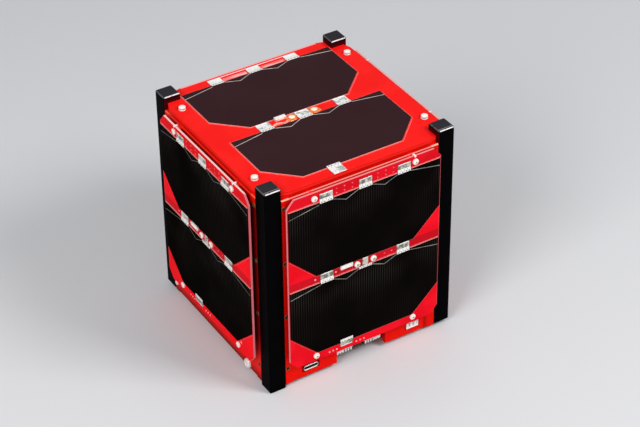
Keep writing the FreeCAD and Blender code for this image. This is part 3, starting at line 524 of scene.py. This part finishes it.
def made(work, name, *finishes):
    """The mesh that the work comes to, with its finishes."""
    mesh = bpy.data.meshes.new(name)
    work.to_mesh(mesh)
    work.free()
    for finish in finishes:
        mesh.materials.append(finish)
    return mesh


def gathered(meshes, name):
    """Several meshes as one, smooth but for its sharp edges, each face keeping its material."""
    crease = math.radians(35.0)
    whole = bmesh.new()
    finishes = []
    for mesh in meshes:
        start = len(whole.faces)
        whole.from_mesh(mesh)
        whole.faces.ensure_lookup_table()
        own = list(mesh.materials)
        for finish in own:
            if finish not in finishes:
                finishes.append(finish)
        for face in whole.faces[start:]:
            face.material_index = finishes.index(own[min(face.material_index, len(own) - 1)])
    bmesh.ops.remove_doubles(whole, verts=whole.verts, dist=1e-5)
    bmesh.ops.recalc_face_normals(whole, faces=whole.faces)
    for face in whole.faces:
        face.smooth = True
    for edge in whole.edges:
        edge.smooth = len(edge.link_faces) == 2 and edge.calc_face_angle(0) < crease
    return made(whole, name, *finishes)


def add_piece(name, meshes, panel, slot, *replaces):
    """Gather flat meshes, stand them up on a panel and make them a piece of the satellite."""
    mesh = gathered(meshes, name)
    layer = mesh.uv_layers.new(name="flat")
    for loop in mesh.loops:
        layer.data[loop.index].uv = mesh.vertices[loop.vertex_index].co.xy
    mesh.transform(panel_place(panel))
    piece = in_scene(name, mesh)
    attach(piece, "root")
    if replaces:
        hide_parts(*replaces)


def block(low, high, finish, bevel):
    """A box between two corners, with its edges bevelled."""
    work = bmesh.new()
    bmesh.ops.create_cube(work, size=1.0)
    low, high = Vector(low), Vector(high)
    for vertex in work.verts:
        vertex.co = Vector([low[k] + (vertex.co[k] + 0.5) * (high[k] - low[k]) for k in range(3)])
    bmesh.ops.bevel(work, geom=work.edges[:], offset=bevel, segments=2, affect="EDGES", profile=0.6)
    return made(work, "block", finish)


def skin(rings, finish, capped=False):
    """A skin through rings of corners; a ring of one corner ends it in a point."""
    work = bmesh.new()
    loops = [[work.verts.new(corner) for corner in ring] for ring in rings]
    for low, high in zip(loops, loops[1:]):
        for n in range(max(len(low), len(high))):
            corners = [low[n % len(low)], low[(n + 1) % len(low)],
                       high[(n + 1) % len(high)], high[n % len(high)]]
            corners = [corner for k, corner in enumerate(corners) if corner not in corners[:k]]
            if len(corners) > 2:
                work.faces.new(corners)
    if capped:
        work.faces.new(loops[0])
        work.faces.new(loops[-1])
    bmesh.ops.recalc_face_normals(work, faces=work.faces)
    return made(work, "skin", finish)


def turned(profile, centre, finish, segments=32):
    """A shape turned about Z from a profile of (radius, height)."""
    rings = []
    for radius, height in profile:
        steps = segments if radius else 1
        angles = [2 * math.pi * step / steps for step in range(steps)]
        rings.append([(centre[0] + radius * math.cos(angle), centre[1] + radius * math.sin(angle), height)
                      for angle in angles])
    return skin(rings, finish)


# ---- trees that repeat a shape
class Grower(Graph):
    """A geometry tree with named inputs, which turns a seed mesh into a plain mesh."""

    KINDS = {float: "Float", int: "Int", tuple: "Vector", type(None): "Material"}

    def __init__(self, name, **inputs):
        tree = bpy.data.node_groups.new(name, "GeometryNodeTree")
        tree.is_modifier = True
        super().__init__(tree)
        for way in ("OUTPUT", "INPUT"):
            tree.interface.new_socket("Geometry", in_out=way, socket_type="NodeSocketGeometry")
        for label, value in inputs.items():
            socket = tree.interface.new_socket(label.replace("_", " "), in_out="INPUT",
                                               socket_type="NodeSocket" + self.KINDS[type(value)])
            if value is not None:
                socket.default_value = value
        self.entry = tree.nodes.new("NodeGroupInput")
        self.exit = tree.nodes.new("NodeGroupOutput")

    def take(self, *labels):
        return [Wire(self, self.entry.outputs[label]) for label in labels]

    def sheet(self, wide, long, across, along):
        return self.geo("MeshCube", {
            "Size": self.join(wide, long, FOIL), "Vertices X": across, "Vertices Y": along, "Vertices Z": 2})

    def moved(self, geometry, x=0.0, y=0.0, z=0.0):
        return self.geo("Transform", {"Geometry": geometry, "Translation": self.join(x, y, z)})

    def spot(self, points, thing, **more):
        """The thing, put on every point."""
        return self.geo("InstanceOnPoints", {"Points": points, "Instance": thing, **more})

    def radius(self):
        """How far each corner is from the Z axis, and its place."""
        x, y, z = self.split(self.geo("InputPosition"))
        return (x * x + y * y).math("SQRT"), x, y, z

    def painted(self, geometry, finish, where=None):
        only = {"Selection": where} if where else {}
        return self.geo("SetMaterial", {"Geometry": geometry, **only, "Material": self.take(finish)})

    def end(self, geometry, bright=None):
        """Every tree ends in real faces with a material, and a second one where bright holds."""
        real = self.painted(self.geo("RealizeInstances", {0: geometry}), "Finish")
        if bright:
            real = self.painted(real, "Bright Finish", bright)
        self.plug(real, self.exit.inputs[0])
        return self

    def on(self, points, **sizes):
        """Run the tree on loose points."""
        return self.grow([[point] for point in points], **sizes)

    def grow(self, paths, **sizes):
        """Run the tree on open lines, each through its points, and hand back the plain mesh."""
        points, edges = [], []
        for path in paths:
            edges += [(len(points) + n, len(points) + n + 1) for n in range(len(path) - 1)]
            points += [(*point, 0.0)[:3] for point in path]
        seed = bpy.data.meshes.new("seed")
        seed.from_pydata(points, edges, [])
        carrier = in_scene("carrier", seed)
        modifier = carrier.modifiers.new("grow", "NODES")
        modifier.node_group = self.tree
        for item in self.tree.interface.items_tree:
            label = item.name.replace(" ", "_")
            if item.in_out == "INPUT" and label in sizes:
                modifier[item.identifier] = sizes.pop(label)
        assert not sizes, f"{self.tree.name} has no input {sorted(sizes)}"
        carrier.update_tag()
        bpy.context.view_layer.update()
        graph = bpy.context.evaluated_depsgraph_get()
        mesh = bpy.data.meshes.new_from_object(carrier.evaluated_get(graph), depsgraph=graph)
        carrier.modifiers.remove(modifier)
        bpy.data.objects.remove(carrier)
        return mesh


def screw_tree():
    """Domed heads with a hexagon socket, each turned by its own angle."""
    tree = Grower("socket_screws", Head_Radius=1.6, Head_Height=1.1, Dome=0.45, Socket_Radius=0.7,
                  Socket_Depth=0.6, Finish=None, Socket_Finish=None)
    seed, radius, height, dome, socket_radius, depth = tree.take(
        "Geometry", "Head Radius", "Head Height", "Dome", "Socket Radius", "Socket Depth")
    head = tree.geo("MeshCylinder", {
        "Vertices": 40, "Side Segments": 3, "Fill Segments": 7, "Radius": radius, "Depth": height})
    head = tree.moved(head, z=height / 2)
    off_axis, x, y, z = tree.radius()
    share = off_axis / radius
    domed = z * (1 - dome * share * share)
    head = tree.geo("SetPosition", {"Geometry": head, "Position": tree.join(x, y, domed)})
    socket = tree.geo("MeshCylinder", {"Vertices": 6, "Radius": socket_radius, "Depth": depth * 2})
    head = tree.geo("MeshBoolean", {"Mesh 1": head, "Mesh 2": tree.moved(socket, z=height)},
                    operation="DIFFERENCE", solver="EXACT")
    off_axis, x, y, z = tree.radius()
    inside = (off_axis < socket_radius * 0.99) * (z < height * 0.93)
    head = tree.painted(tree.painted(head, "Finish"), "Socket Finish", inside)
    turn = tree.node("FunctionNodeRandomValue", {2: 0.0, 3: 1.05, "Seed": 7}, out=1)
    turn = tree.node("FunctionNodeEulerToRotation", {0: tree.join(z=turn)})
    heads = tree.spot(seed, head, Rotation=turn)
    tree.plug(tree.geo("RealizeInstances", {0: heads}), tree.exit.inputs[0])
    return tree


def dot_tree():
    """Low round domes, such as solder on test pads and welds on foil."""
    tree = Grower("solder_domes", Radius=0.4, Height=0.1, Finish=None)
    seed, radius, height = tree.take("Geometry", "Radius", "Height")
    dome = tree.geo("MeshUVSphere", {"Segments": 14, "Rings": 8, "Radius": 1.0})
    dome = tree.geo("Transform", {"Geometry": dome, "Scale": tree.join(radius, radius, height)})
    return tree.end(tree.spot(seed, dome))


def ribbon_tree():
    """A flat strip that follows each line of the seed."""
    tree = Grower("flat_ribbons", Width=0.3, Thickness=0.05, Finish=None)
    seed, width, thickness = tree.take("Geometry", "Width", "Thickness")
    line = tree.geo("SetCurveNormal", {"Curve": tree.geo("MeshToCurve", {"Mesh": seed})}, mode="Z_UP")
    section = tree.geo("CurvePrimitiveQuadrilateral", {"Width": width, "Height": thickness})
    return tree.end(tree.geo("CurveToMesh", {"Curve": line, "Profile Curve": section, "Fill Caps": True}))


def foil_tree():
    """An interconnect: a strip lapped over a cell, short fingers down to the board and a soldered pad.

    It lies along +Y: the strip starts at -Lap, the cell's edge is at 0 and the pad ends at Reach.
    """
    tree = Grower("foil_interconnect", Pad_Width=TAB_WIDE, Lap=TAB_LAP, Reach=4.2, Finger_Start=0.0,
                  Finger_Reach=1.0, Bright_Reach=1.6, Finish=None, Bright_Finish=None)
    seed, pad_width, lap, reach, start, finger_reach, bright_reach = tree.take(
        "Geometry", "Pad Width", "Lap", "Reach", "Finger Start", "Finger Reach", "Bright Reach")
    finger_wide = (TAB_WIDE + FINGER_GAP) / FINGERS - FINGER_GAP
    finger = tree.sheet(finger_wide, finger_reach - start, 2, 10)
    row = tree.geo("MeshLine", {
        "Count": FINGERS,
        "Start Location": tree.join((finger_wide - TAB_WIDE) / 2, (finger_reach + start) / 2),
        "Offset": tree.join(finger_wide + FINGER_GAP)})
    strip = tree.moved(tree.sheet(TAB_WIDE, lap + start, 12, 4), y=(start - lap) / 2)
    pad = tree.moved(tree.sheet(pad_width, reach - finger_reach, 12, 8), y=(reach + finger_reach) / 2)
    sheet = tree.geo("RealizeInstances", {
        0: tree.geo("JoinGeometry", {0: [tree.spot(row, finger), strip, pad]})})
    y = tree.split(tree.geo("InputPosition"))[1]
    # the foil steps down from the cell to the board
    lift = 0.46 - y.fade(0.05, 1.1) * 0.26
    sheet = tree.geo("SetPosition", {"Geometry": sheet, "Offset": tree.join(z=lift)})
    return tree.end(tree.spot(seed, sheet), bright=y < bright_reach)


def pin_tree():
    """A straight row of small bars, such as the contacts of a connector."""
    tree = Grower("contact_rows", Count=6, Pitch=1.25, Size=(0.5, 0.5, 1.0), Finish=None)
    seed, count, pitch, size = tree.take("Geometry", "Count", "Pitch", "Size")
    row = tree.geo("MeshLine", {
        "Count": count, "Start Location": tree.join((count - 1) * pitch * -0.5),
        "Offset": tree.join(pitch)})
    return tree.end(tree.spot(seed, tree.spot(row, tree.geo("MeshCube", {"Size": size}))))


SCREWS, DOTS, RIBBONS, FOILS, PINS = screw_tree(), dot_tree(), ribbon_tree(), foil_tree(), pin_tree()


# ---- what stands on each panel
SCREW_ACROSS, SCREW_HIGH = 26.7, 44.7
CORNER_SCREWS = [(hand * SCREW_ACROSS, high) for high in (SCREW_HIGH, -SCREW_HIGH) for hand in (-1, 1)]
MIDDLE_SCREWS = [(-4.4, -0.55), (4.4, -0.55)]
END_SCREWS = [(x, y) for x in (-45.0, 45.0) for y in (-33.0, 33.0)]
TOP_MIDDLE_SCREWS = [(-6.0, -0.15), (6.0, -0.15)]
# small pale blocks over the upper edge of each side board, marks there made pale as a painted highlight of
# their glints, by their place across
EDGE_GLINTS = {"front": (SCREW_ACROSS,), "right": (-SCREW_ACROSS, SCREW_ACROSS), "back": (-SCREW_ACROSS,),
         "left": (-SCREW_ACROSS, 27.3)}
# a pan head's height, and how deep its socket is cut
HEAD_HIGH, SOCKET_DEEP = 1.1, 0.3


def dress_screws():
    for side in SIDES:
        heads = [SCREWS.on(places, Head_Radius=1.5, Head_Height=HEAD_HIGH, Socket_Radius=socket,
                           Socket_Depth=SOCKET_DEEP, Finish=STEEL, Socket_Finish=SOCKET_SHADE)
                 for places, socket in ((CORNER_SCREWS, 0.44), (MIDDLE_SCREWS, 0.72))]
        add_piece(f"board_screws_{side}", heads, side, "bright_screw", f"screws_{side}")
        edge_glints = [block((across - 0.48, 46.9, -2.0), (across + 0.48, 47.85, 0.15), EDGE_GLINT, 0.2)
                 for across in EDGE_GLINTS[side]]
        add_piece(f"board_clips_{side}", edge_glints, side, "bright_screw")
    collar = [(0.0, 0.0), (1.66, 0.0), (1.7, 0.08), (1.7, 0.36), (1.62, 0.44), (0.0, 0.44)]
    neck = [(0.0, 0.42), (1.42, 0.42), (1.42, 0.9), (0.0, 0.9)]
    parts = [SCREWS.on([(x, y, 0.86) for x, y in END_SCREWS], Head_Radius=1.6, Head_Height=1.02, Dome=0.4,
                       Socket_Radius=0.42, Socket_Depth=SOCKET_DEEP, Finish=STEEL, Socket_Finish=STEEL)]
    for place in END_SCREWS:
        parts += [turned(collar, place, STEEL, 40), turned(neck, place, DARK_STEEL)]
    add_piece("end_screws_top", parts, "top", "bright_screw", "screws_top")
    heads = SCREWS.on(TOP_MIDDLE_SCREWS, Head_Radius=1.5, Head_Height=HEAD_HIGH, Socket_Radius=0.42,
                      Finish=CREAM, Socket_Finish=CREAM)
    add_piece("middle_screws_top", [heads], "top", "bright_screw", "screws_middle")


def tab_rows(kind):
    """Interconnects of a panel: across, the cell's edge, way, reach, lap, width of the pad."""
    upper, lower = CELL_TOPS[kind]
    gap = upper - CELL_TALL - lower
    rows = [(step * TAB_PITCH, upper, 1, 4.2, TAB_LAP, TAB_WIDE) for step in (-1, 0, 1)]
    for step in (-1, 0, 1):
        pad_wide = 3.0 if step == 0 and kind == "side" else TAB_WIDE
        rows.append((step * TAB_PITCH, lower, 1, gap - 0.1, TAB_LAP, pad_wide))
    reach, lap = (5.9, 0.9) if kind == "top" else (2.3, 2.0)
    rows.append((-10.3, lower - CELL_TALL, -1, reach, lap, TAB_WIDE))
    return rows


def flat_tabs(kind):
    """The interconnects of a panel, each with a weld on every finger and solder along its pad."""
    meshes = []
    for across, edge, way, reach, lap, pad_wide in tab_rows(kind):
        narrow, long_lap = pad_wide < TAB_WIDE, lap > 1.5
        foil = FOILS.on([(0.0, 0.0)], Pad_Width=pad_wide, Lap=lap, Reach=reach,
                        Finger_Start=-0.3 if narrow else 0.0,
                        Finger_Reach=0.4 if narrow else min(1.0, reach * 0.35),
                        Bright_Reach=0.4 if narrow else -0.6 if long_lap else 1.6,
                        Finish=FOIL_SILVER, Bright_Finish=TIN)
        pitch = (TAB_WIDE + FINGER_GAP) / FINGERS
        spots = [((n - 1.5) * pitch + 0.12 * (-1) ** n, 0.12 - lap * 0.35, 0.51) for n in range(FINGERS)]
        welds = DOTS.on(spots, Radius=0.36, Height=0.05, Finish=WELD)
        joint = block((-pad_wide / 2 + 0.3, reach - 0.5, 0.0), (pad_wide / 2 - 0.3, reach - 0.1, 0.36),
                      TIN, 0.12)
        turn = Matrix.Rotation(math.pi if way < 0 else 0.0, 4, "Z")
        for mesh in (foil, welds, joint):
            mesh.transform(Matrix.Translation((across, edge, 0.0)) @ turn)
            meshes.append(mesh)
    return meshes


# contact strips along the top of a cell, in points across and down from its edge
BUSBAR_RUNS = (((-40.0, 4.0), (-24.2, 1.3)), ((-17.0, 0.8), (-10.2, 3.5), (-3.5, 0.5)),
               ((3.3, 0.5), (10.2, 3.3), (17.1, 0.6)), ((24.2, 0.9), (40.0, 4.0)))


def busbar_paths(kind):
    return [[(x, top - drop, CELL_THICK + 0.03) for x, drop in run]
            for top in CELL_TOPS[kind] for run in BUSBAR_RUNS]


def pad_places():
    """Test pads of a side's board: the dim ones under the mask, and the bright ones."""
    dim = [(hand * across, up) for across in (6.7, 10.9, 15.0) for up in (43.5, 45.8) for hand in (-1, 1)]
    dim += [(x, -0.4) for x in (10.6, 14.5)]
    bright = [(x, -0.4) for x in (-26.7, -15.7)]
    bright += [(x, -45.9) for x in (-19.5, -17.5, -15.5, -4.7, -2.6, -0.5)]
    return dim, bright


# each panel's diode, from corner to corner, and its height
DIODES = {"side": (-13.6, 0.1, -7.0, 2.1, 1.0), "top": (-14.2, 0.55, -8.4, 2.7, 1.5)}


def diode(x0, y0, x1, y1, tall):
    """A small rectangular diode: a pale body between two bright end caps."""
    cap, edge = 1.1, 0.12
    return [
        block((x0 + cap * 0.7, y0 + edge, 0.1), (x1 - cap * 0.7, y1 - edge, tall), PALE_PLASTIC, edge),
        block((x0, y0, 0.05), (x0 + cap, y1, tall - 0.04), TIN_SHELL, edge),
        block((x1 - cap, y0, 0.05), (x1, y1, tall - 0.04), TIN_SHELL, edge),
    ]


def cell_outlines(kind):
    """Printed lines round each cell, just off its edge: the bright ones and the dim ones, lit and shaded
    copies of one print, the bright upper lines a painted highlight.
    """
    off, crop_wide, crop_tall = 0.35, 14.0, 13.5
    half = CELL_HALF + off
    bright, dim = [], []
    for top in CELL_TOPS[kind]:
        low = top - CELL_TALL - off
        head = [(-half, top + off), (half, top + off)]
        foot = [(half, low + crop_tall), (half - crop_wide, low),
                (-half + crop_wide, low), (-half, low + crop_tall)]
        if kind == "top":
            bright.append(head + foot + head[:1])
        else:
            bright.append(head)
            dim.append(foot)
    return [[[(x, y, 0.012) for x, y in line] for line in lines] for lines in (bright, dim)]


def resin_drop(centre, seed):
    """A low uneven skirt of resin round a screw, wavy beyond the screw's head."""
    rise = [(0.0, 0.62), (1.2, 0.62), (1.8, 0.52), (2.3, 0.34), (2.65, 0.14), (2.8, 0.0)]
    reach = 2.85
    mesh = turned(rise, (0.0, 0.0), AMBER, 40)
    for vertex in mesh.vertices:
        radius = vertex.co.xy.length
        if radius > 1.5:
            angle = math.atan2(vertex.co.y, vertex.co.x)
            swell = 1 + 0.16 * math.sin(2 * angle + seed) + 0.09 * math.sin(5 * angle + 2.3 * seed)
            vertex.co.x *= swell
            vertex.co.y = max(-reach, min(reach, vertex.co.y * swell))
    return move([mesh], *centre, 0.0)


def dress_panel(panel):
    kind = "top" if panel == "top" else "side"
    add_piece(f"interconnects_{panel}", flat_tabs(kind), panel, "silver_tab", f"cell_tabs_{panel}")
    # painted light: the top's busbars take the lit copy and the left's the shaded copy
    busbar = LIT_TOP_BUSBAR if kind == "top" else SHADED_BUSBAR if panel == "left" else BUSBAR
    strips = RIBBONS.grow(busbar_paths(kind), Width=0.32, Thickness=0.05, Finish=busbar)
    add_piece(f"cell_busbars_{panel}", [strips], panel, "silver_tab")
    outlines = [RIBBONS.grow(lines, Width=0.2, Thickness=0.02, Finish=finish)
                for lines, finish in zip(cell_outlines(kind), (LIT_LINE_PRINT, SHADED_LINE_PRINT)) if lines]
    add_piece(f"cell_outlines_{panel}", outlines, panel, "silver_tab")
    if kind == "side":
        dim, bright = pad_places()
        pads = [DOTS.on(dim, Radius=0.4, Height=0.06, Finish=DIM_PAD),
                DOTS.on(bright, Radius=0.44, Height=0.1, Finish=PAD)]
        add_piece(f"test_pads_{panel}", pads, panel, "silver_tab")
    add_piece(f"bypass_diode_{panel}", diode(*DIODES[kind]), panel, "pale_plastic")


def dress_frame_screws():
    """Eyelets in the frames beside the rails, each round a sunk screw."""
    places = [(hand * 40.2, 11.15 + 30.4 * step - PANEL_MIDDLE) for hand in (-1, 1) for step in range(4)]
    eyelet = [(0.9, -0.5), (0.78, -0.1), (0.84, 0.14), (1.05, 0.16), (1.18, 0.05), (1.18, -0.02),
              (0.9, -0.02), (0.9, -0.5)]
    for side in SIDES:
        heads = SCREWS.on([(x, y, -1.3) for x, y in places], Head_Radius=0.84, Head_Height=0.6, Dome=0.0,
                          Socket_Radius=0.42, Socket_Depth=0.35, Finish=DARK_STEEL, Socket_Finish=DARK_STEEL)
        rings = [turned(eyelet, place, BRASS, 24) for place in places]
        add_piece(f"frame_screws_{side}", move([heads] + rings, 0.0, 0.0, FRONT_FACE), side, "bright_screw")


# ---- ports and studs, drawn on the front or left
USB_ACROSS = -27.8


def rounded_slot(wide, tall):
    """Corners of a slot with round ends, about the middle."""
    radius, run, steps = tall / 2, wide / 2 - tall / 2, 10
    corners = []
    for hand, start in ((1, -90), (-1, 90)):
        for step in range(steps + 1):
            angle = math.radians(start + 180 * step / steps)
            corners.append((hand * run + radius * math.cos(angle), radius * math.sin(angle)))
    return corners


def rolled_shell():
    """The plug shell: its lips are bright, with painted shade dulling its round ends and darkening its
    throat.
    """
    finish = Finish("rolled_shell", Specular_IOR_Level=0.3)
    place = finish.place()
    x, y, z = finish.split(place)
    fine = finish.noise(place, 3.0, 3.0, 0.6)
    # painted shade: the shell's round ends are painted dull and its throat dark, where less light reaches
    ends = abs(x - USB_ACROSS).fade(3.1, 4.1)
    lip = finish.mix(ends, (1.0, 0.93, 0.82), (0.2, 0.15, 0.11))
    throat = y.fade(-49.95, -49.75)
    return finish.wear(
        Base_Color=finish.mix(throat, lip, (0.012, 0.01, 0.01)),
        Metallic=0.3 - throat * 0.3,
        Roughness=0.3 + fine * 0.15,
        Normal=finish.bump(fine, 0.1, 0.03))


def usb_port():
    """A rolled shell with a rounded lip, a black tongue inside and its rows of contacts."""
    outer, lip, inner = rounded_slot(8.3, 2.75), rounded_slot(8.1, 2.55), rounded_slot(7.4, 1.45)
    rings = ((outer, -7.4), (outer, -0.12), (lip, 0.0), (inner, -0.12), (inner, -6.6))
    shell = skin([[(*corner, height) for corner in ring] for ring, height in rings], rolled_shell(), True)
    lining = block((-3.6, -0.7, -6.7), (3.6, 0.7, -5.0), BLACK_PLASTIC, 0.1)
    tongue = block((-3.2, -0.22, -6.5), (3.2, 0.22, -2.2), BLACK_PLASTIC, 0.1)
    contacts = [PINS.on([(0.0, up, -3.6)], Count=12, Pitch=0.5, Size=(0.26, 0.06, 2.6), Finish=GOLD)
                for up in (-0.26, 0.26)]
    return move([shell, lining, tongue] + contacts, USB_ACROSS, 7.0 - PANEL_MIDDLE, FRONT_FACE + 0.2)


def four_way():
    """A pale four-way plug in a dark mouth: its upper edge is cut into teeth."""
    half, up, deep, wall = 3.7, 1.65, 6.0, 0.5
    back = 1.0 - deep
    rows = [
        ((-half, -up, -deep), (half, up, 1.2 - deep), BLACK_PLASTIC, 0.08),
        ((-half + 0.6, -up, back), (half, -up + wall, 0.0), WHITE_PLASTIC, 0.1),
        ((-half, -up + 0.1, back), (-half + wall, up, -0.4), BLACK_PLASTIC, 0.1),
        ((half - wall, -up + 0.1, back), (half, up, -0.1), WHITE_PLASTIC, 0.1),
        ((-half + 0.1, up - wall, back), (half - 0.1, up, -2.2), BLACK_PLASTIC, 0.1),
        ((-half + 0.8, -up + 0.1, back), (half - 0.3, -0.95, -0.2), WHITE_PLASTIC, 0.15),
        ((-half + 1.2, -0.9, back), (half - 0.3, up - 0.2, -2.4), BLACK_PLASTIC, 0.15),
    ]
    rows += [((x - 0.68, -1.1, -2.6), (x + 0.68, up - 0.1, -0.15), WHITE_PLASTIC, 0.3)
             for x in (-2.3, -0.05, 2.2)]
    return move([block(*row) for row in rows], 28.8, 6.95 - PANEL_MIDDLE, FRONT_FACE)


def header(middle, hand):
    """An umbilical header: bright terminals with dark slots between, and a bright bar along one half."""
    half, up, deep = 4.5, 1.5, 4.6
    rows = [
        ((-half, -0.55, -deep), (half, up, -0.7), BLACK_PLASTIC, 0.12),
        ((-half, -up, -deep), (half, -0.45, -1.2), BLACK_PLASTIC, 0.12),
        ((-half, 0.95, -1.2), (half, up, 0.0), PALE_PLASTIC, 0.12),
        ((hand * 2.5 - 1.9, 0.1, -1.0), (hand * 2.5 + 1.9, 1.35, 0.15), WHITE_PLASTIC, 0.15),
    ]
    terminals = [PINS.on([place], Count=6, Pitch=1.46, Size=size, Finish=TIN_SHELL)
                 for place, size in (((0.0, -0.25, -1.0), (0.8, 1.0, 1.7)),
                                     ((0.0, 0.55, -0.4), (0.74, 0.9, 0.8)))]
    return move([block(*row) for row in rows] + terminals, middle, 7.1 - PANEL_MIDDLE, FRONT_FACE - 0.6)


def stud(across, height, radius, tall):
    """A polished button with a small dimple, on a thin collar."""
    shape = ((0.0, 0.0), (1.0, 0.0), (1.0, 0.42), (0.96, 0.58), (0.86, 0.76), (0.68, 0.9),
             (0.42, 0.98), (0.2, 1.0), (0.15, 0.84), (0.0, 0.82))
    profile = [(radius * wide, tall * high) for wide, high in shape]
    return move([turned(profile, (0.0, 0.0), STUD_STEEL)], across, height - PANEL_MIDDLE, FRONT_FACE)


def dress_ports():
    add_piece("usb_socket", usb_port(), "front", "bright_shell", "usb_port")
    add_piece("four_way_socket", four_way(), "front", "pale_plastic", "four_way_connector")
    add_piece("umbilical_sockets", header(-8.8, -1) + header(6.7, 1), "front", "pale_plastic",
              "umbilical_headers")
    add_piece("polished_studs", stud(29.6, 4.6, 2.5, 1.6) + stud(-39.2, 7.2, 1.3, 1.2), "left",
              "bright_screw", "left_studs")


def dress_resin():
    """Cured resin: a mark on the left board, and drops, a trail and a clear line on the top one."""
    marks = DOTS.on([(29.2, -41.9)], Radius=0.62, Height=0.12, Finish=PAD)
    add_piece("resin_marks", [marks], "left", "pale_plastic")
    trail = [(-16.9, -1.9, 0.12), (-14.6, -1.0, 0.12), (-12.6, -1.5, 0.12), (-10.4, -2.3, 0.12),
             (-8.6, -1.3, 0.12)]
    drops = [RIBBONS.grow([trail], Width=1.15, Thickness=0.3, Finish=TRAIL)]
    for n, place in enumerate(TOP_MIDDLE_SCREWS):
        drops += resin_drop(place, 0.7 + n)
    add_piece("resin_drops", drops, "top", "pale_plastic")
    thread = RIBBONS.grow([[(-23.8, 47.35, 0.1), (23.8, 47.35, 0.1)]], Width=0.42, Thickness=0.12,
                          Finish=CLEAR_LINE)
    add_piece("clear_line_top", [thread], "top", "silver_tab")


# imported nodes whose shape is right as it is, by how their names start
NODE_FINISHES = (("rail_", BLACK_RAIL), ("plunger_", DARK_STEEL), ("side_frame_", RED_METAL),
                 ("top_plate", RED_METAL), ("bottom_plate", RED_METAL), ("port_board", GREEN_BOARD),
                 ("equipment_stack", BLACK_PLASTIC), ("screws_", STEEL))


def dress_frame_nodes():
    for name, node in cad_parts.items():
        panel = name.rsplit("_", 1)[1]
        found = [finish for start, finish in NODE_FINISHES if name.startswith(start)]
        if name.startswith("solar_board_"):
            found = [red_board(panel)]
        elif name.startswith("solar_cells_"):
            found = [solar_cell(panel)]
        for finish in found:
            node.data.materials.clear()
            node.data.materials.append(finish)


dress_frame_nodes()
dress_screws()
for panel in PANELS:
    dress_panel(panel)
dress_frame_screws()
dress_ports()
dress_resin()


# ---- floor, light and camera
def studio():
    floor_mesh = bpy.data.meshes.new("floor")
    reach = 6.0
    floor_mesh.from_pydata([(-reach, -reach, 0), (reach, -reach, 0), (reach, reach, 0), (-reach, reach, 0)],
                           [], [(0, 1, 2, 3)])
    floor = in_scene("floor", floor_mesh)
    paper = Finish("floor_paper", Roughness=0.55, Specular_IOR_Level=0.25)
    tooth = paper.noise(paper.place(), 0.8, 3.0)
    floor_mesh.materials.append(paper.wear(
        Base_Color=paper.mix(tooth, (0.7, 0.7, 0.71), (0.73, 0.73, 0.74))))

    world = bpy.data.worlds.new("studio")
    bpy.context.scene.world = world
    world.use_nodes = True
    sky = Graph(world.node_tree)
    background = world.node_tree.nodes["Background"]
    # the camera sees the backdrop, and so do mirror and glass
    seen, glossy, through = (sky.shade("LightPath", out=ray) for ray in (0, 3, 6))
    direct = seen.most(glossy).most(through)
    sky.plug(sky.mix(direct, (0.92, 0.94, 1.0), (0.84, 0.85, 0.87)), background.inputs["Color"])
    sky.plug(0.34 + direct * 0.48, background.inputs["Strength"])

    for name, place, size, energy in (
            ("key_softbox", (0.46, -0.65, 0.8), 0.36, 6.2),
            ("left_fill", (-0.82, -0.42, 0.74), 0.5, 7.4),
            ("overhead_softbox", (0.1, 0.35, 1.0), 0.6, 0.4)):
        lamp = bpy.data.lights.new(name, "AREA")
        lamp.size = size
        lamp.energy = energy
        thing = in_scene(name, lamp)
        thing.location = place
        thing.rotation_mode = "QUATERNION"
        thing.rotation_quaternion = (Vector(place) - Vector((0, 0, 0.05))).to_track_quat("Z", "Y")


def portrait_camera():
    azimuth, elevation, roll = math.radians(-31.33), math.radians(36.2), math.radians(-0.74)
    target, distance = Vector((1.48, -11.56, 60.0)) * MM, 982.9 * MM
    back = Vector((math.sin(azimuth) * math.cos(elevation), -math.cos(azimuth) * math.cos(elevation),
                   math.sin(elevation)))
    right = (-back).cross(Vector((0, 0, 1))).normalized()
    up = right.cross(-back)
    rolled_right = right * math.cos(roll) + up * math.sin(roll)
    rolled_up = up * math.cos(roll) - right * math.sin(roll)
    data = bpy.data.cameras.new("portrait")
    data.sensor_width = 36.0
    data.lens = 117.66
    data.clip_start, data.clip_end = 0.01, 50.0
    camera = in_scene("portrait", data)
    turn = Matrix((rolled_right, rolled_up, back)).transposed().to_4x4()
    camera.matrix_world = Matrix.Translation(target + back * distance) @ turn
    bpy.context.scene.camera = camera


studio()
portrait_camera()
bpy.context.scene.view_settings.view_transform = "Standard"
